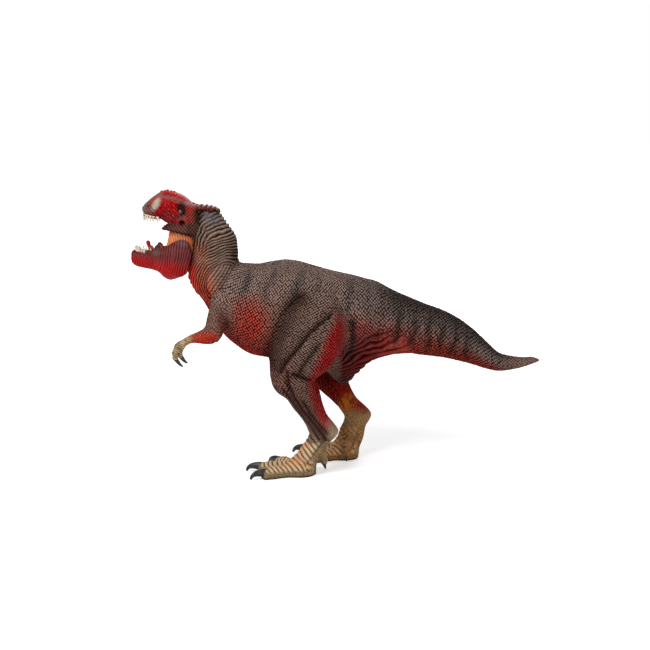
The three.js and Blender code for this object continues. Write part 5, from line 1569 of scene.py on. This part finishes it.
points, faces, ways = sculpt((-81, -5.6, 102), (-63, 5.6, 125.5), 0.25, lining_form)
x, y, z = points.T
cloud = grain(points, 2.5, 71)
pleats = fold((x + 0.25 * (z - 112)) / 1.25 + 0.12 * cloud, 0.8)
flank = ramp(np.abs(y), 2.6, 3.8) * ramp(z, 110, 113)
depth, relief = crease(0, 1, flank, pleats, 0.26, 0.85)
paint = undercoat(points, 222, 132, 84)
paint = spray(
    paint,
    (ramp(x, -71, -66) * 0.65, 168, 74, 26),
    (ramp(z, 116.6, 118.8) * (0.7 + 0.5 * cloud), 170, 74, 30),
    (patch(points, (-79, 116), (3.2, 3.2)) * ramp(np.abs(y), 3.2, 2.4) * 0.75, 120, 30, 26),
)
wet_paint = painted_vinyl("wet mouth paint", gloss=0.3, wash_and_shade=0.6, dry_brush_and_highlight=0.2, speck=0.1, bump=0.2)
points = points - ways * depth[:, None]
lining = cast("mouth_lining_skin", points, faces, relief, paint, 0.0, wet_paint)
finished(lining, "figure", ["mouth_lining"])

# ------------------------------------------------------------------ tongue
# A soft-looking tongue glued in the trough, grooved down the middle, tip raised.
tongue_rows = [
    (-81.6, 106.6, 0.7, 0, 1.3, 0, 0), (-83.9, 108, 1.2, 8, 2.1, 0, 0), (-86.3, 109.3, 1.2, 25, 2.4, 0, 0),
    (-88.2, 111, 1, 38, 2, 0, 0), (-89.3, 112.8, 0.8, 48, 1.5, 0, 0), (-90, 113.8, 0.35, 48, 0.7, 0, 0),
]


def tongue_form(x, y, z):
    whole = skin(tongue_rows, x - 1.6, y, z, 2.2)
    tip = lump(*volume(x, y, z), (-87.4, 0, 113.5), (1.3, 1.2, 0.9), -35, both=False)
    whole = melt(whole, tip, 0.6)
    return whole + 0.3 * np.exp(-(y / 0.45)**2)[None, :, None] * (whole > -1.2)


points, faces, ways = sculpt((-92, -3.4, 104.5), (-80, 3.4, 116), 0.16, tongue_form)
cloud = grain(points, 1.2, 81)
relief = 1 - 0.6 * np.exp(-(points[:, 1] / 0.4)**2) * (ways[:, 2] > 0)
paint = undercoat(points, 168, 22, 22)
paint = spray(paint, (0.4 + 0.5 * cloud, 132, 12, 16))
tongue = cast("tongue_skin", points, faces, relief, paint, 0.25, wet_paint, pitch=0.4, height=0.08)
finished(tongue, "jaw", ["tongue"])

# ------------------------------------------------------------------- teeth
# Each jaw has a strip of pointed teeth, cast together with the gum that is glued
# in the lip's groove. Their lengths alternate a little, and they lean outwards.
def teeth_tree():
    """Sets one curved tooth on every point of a row, each with its own size and lean."""
    inputs = {"Row": "Geometry", "Tooth Length": 0.0034, "Tooth Radius": 0.00075, "Gum Radius": 0.0006,
              "Seed": 3, "Enamel": "Material", "Gum": "Material"}
    tree, start = kit("row of teeth", inputs, "Teeth")
    line = add(tree, "GeometryNodeCurvePrimitiveBezierSegment",
               {"Resolution": 8, "Start": (0, 0, -0.25), "Start Handle": (0.02, 0, 0.15),
                "End Handle": (0.1, 0, 0.6), "End": (-0.1, 0, 1.0)})
    slim = reckon(tree, "DIVIDE", start["Tooth Radius"], start["Tooth Length"])
    tooth = swept(tree, line, 10, ((0, 1), (0.3, 0.95), (0.65, 0.62), (0.88, 0.28), (1, 0.06)), slim)
    white = add(tree, "GeometryNodeSetMaterial", {"Geometry": tooth, "Material": start["Enamel"]})
    size = add(tree, "FunctionNodeRandomValue", {"Min": 0.78, "Max": 1.12, "Seed": start["Seed"]},
               data_type="FLOAT")
    grown = reckon(tree, "MULTIPLY", size.outputs[1], start["Tooth Length"])
    aim = add(tree, "FunctionNodeAlignRotationToVector", {"Vector": given(tree, "lean", "FLOAT_VECTOR")},
              axis="Z")
    put = add(tree, "GeometryNodeInstanceOnPoints",
              {"Points": start["Row"], "Instance": white, "Rotation": aim, "Scale": grown})
    # the gum: a soft bead swept along the row's own edges
    bead = add(tree, "GeometryNodeCurvePrimitiveCircle", {"Resolution": 12, "Radius": start["Gum Radius"]},
               mode="RADIUS")
    gum = add(tree, "GeometryNodeCurveToMesh",
              {"Curve": add(tree, "GeometryNodeMeshToCurve", {0: start["Row"]}),
                                                "Profile Curve": bead, "Fill Caps": True})
    pink = add(tree, "GeometryNodeSetMaterial", {"Geometry": gum, "Material": start["Gum"]})
    join = feed(tree, add(tree, "GeometryNodeJoinGeometry", {0: put}), {0: pink})
    add(tree, "NodeGroupOutput", {0: add(tree, "GeometryNodeRealizeInstances", {0: join})})
    return tree


def tooth_row(name, body, node, rear, reach, half, pointing, length, count, seed, lip):
    """A U-shaped row round the front of a jaw, square at its corners."""
    turns = ((np.arange(count) + 0.5) / count - 0.5) * math.pi * 0.94
    c, s = np.maximum(np.cos(turns), 0)**0.62, np.sign(np.sin(turns)) * np.abs(np.sin(turns))**0.75
    along = rear - reach * c
    spots = np.column_stack([along, half * s, np.interp(along, *zip(*lip))])
    lean = np.column_stack([-0.16 * c, 0.13 * s, np.full(count, pointing)])
    mesh = bpy.data.meshes.new(name)
    mesh.from_pydata(((spots + middle_line) * 0.001).tolist(), [(n, n + 1) for n in range(count - 1)], [])
    layer = mesh.attributes.new("lean", "FLOAT_VECTOR", "POINT")
    layer.data.foreach_set("vector", lean.astype(np.float32).ravel())
    row = bpy.data.objects.new(name, mesh)
    scene.collection.objects.link(row)
    tuned(row, teeth_form, tooth_length=length * 0.001, tooth_radius=0.00072, gum_radius=0.00062, seed=seed,
          enamel=enamel, gum=gum_paint)
    baked(row)
    row.data.polygons.foreach_set("use_smooth", np.ones(len(row.data.polygons), bool))
    finished(row, body, [node])


teeth_form = teeth_tree()
enamel = horn("ivory paint", (236, 226, 206), (206, 178, 146))
gum_paint = horn("gum paint", (150, 74, 62), (96, 40, 36))
tooth_row("upper_tooth_row", "figure", "upper_teeth", rear=-78.4, reach=10.7, half=5.3, pointing=-1,
          length=2.7,
          count=16, seed=3, lip=((-89.2, 127.3), (-86, 126.4), (-82, 125.8), (-78, 123.6)))
tooth_row("lower_tooth_row", "jaw", "lower_teeth", rear=-82.0, reach=11.7, half=4.2, pointing=1, length=3.0,
          count=20, seed=8, lip=((-94, 109.0), (-87, 108.6), (-84.5, 109.6), (-82, 111.2)))

# ----------------------------------------------------------------- jaw pin
# A short steel pin through both cheeks of the jaw; only its ends could be seen.
steel, tree, coat = new_paint("drawn steel")
drawn = mottle(tree, 2500, 2, (1, 0.08, 1))
feed(tree, coat, {"Metallic": 1, "Roughness": span(tree, drawn, 0, 1, 0.25, 0.42),
                  "Base Color": streaked(tree, drawn, (176, 176, 178), (140, 140, 144))})
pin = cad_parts["jaw_pin"]
pin.data.materials.clear()
pin.data.materials.append(steel)
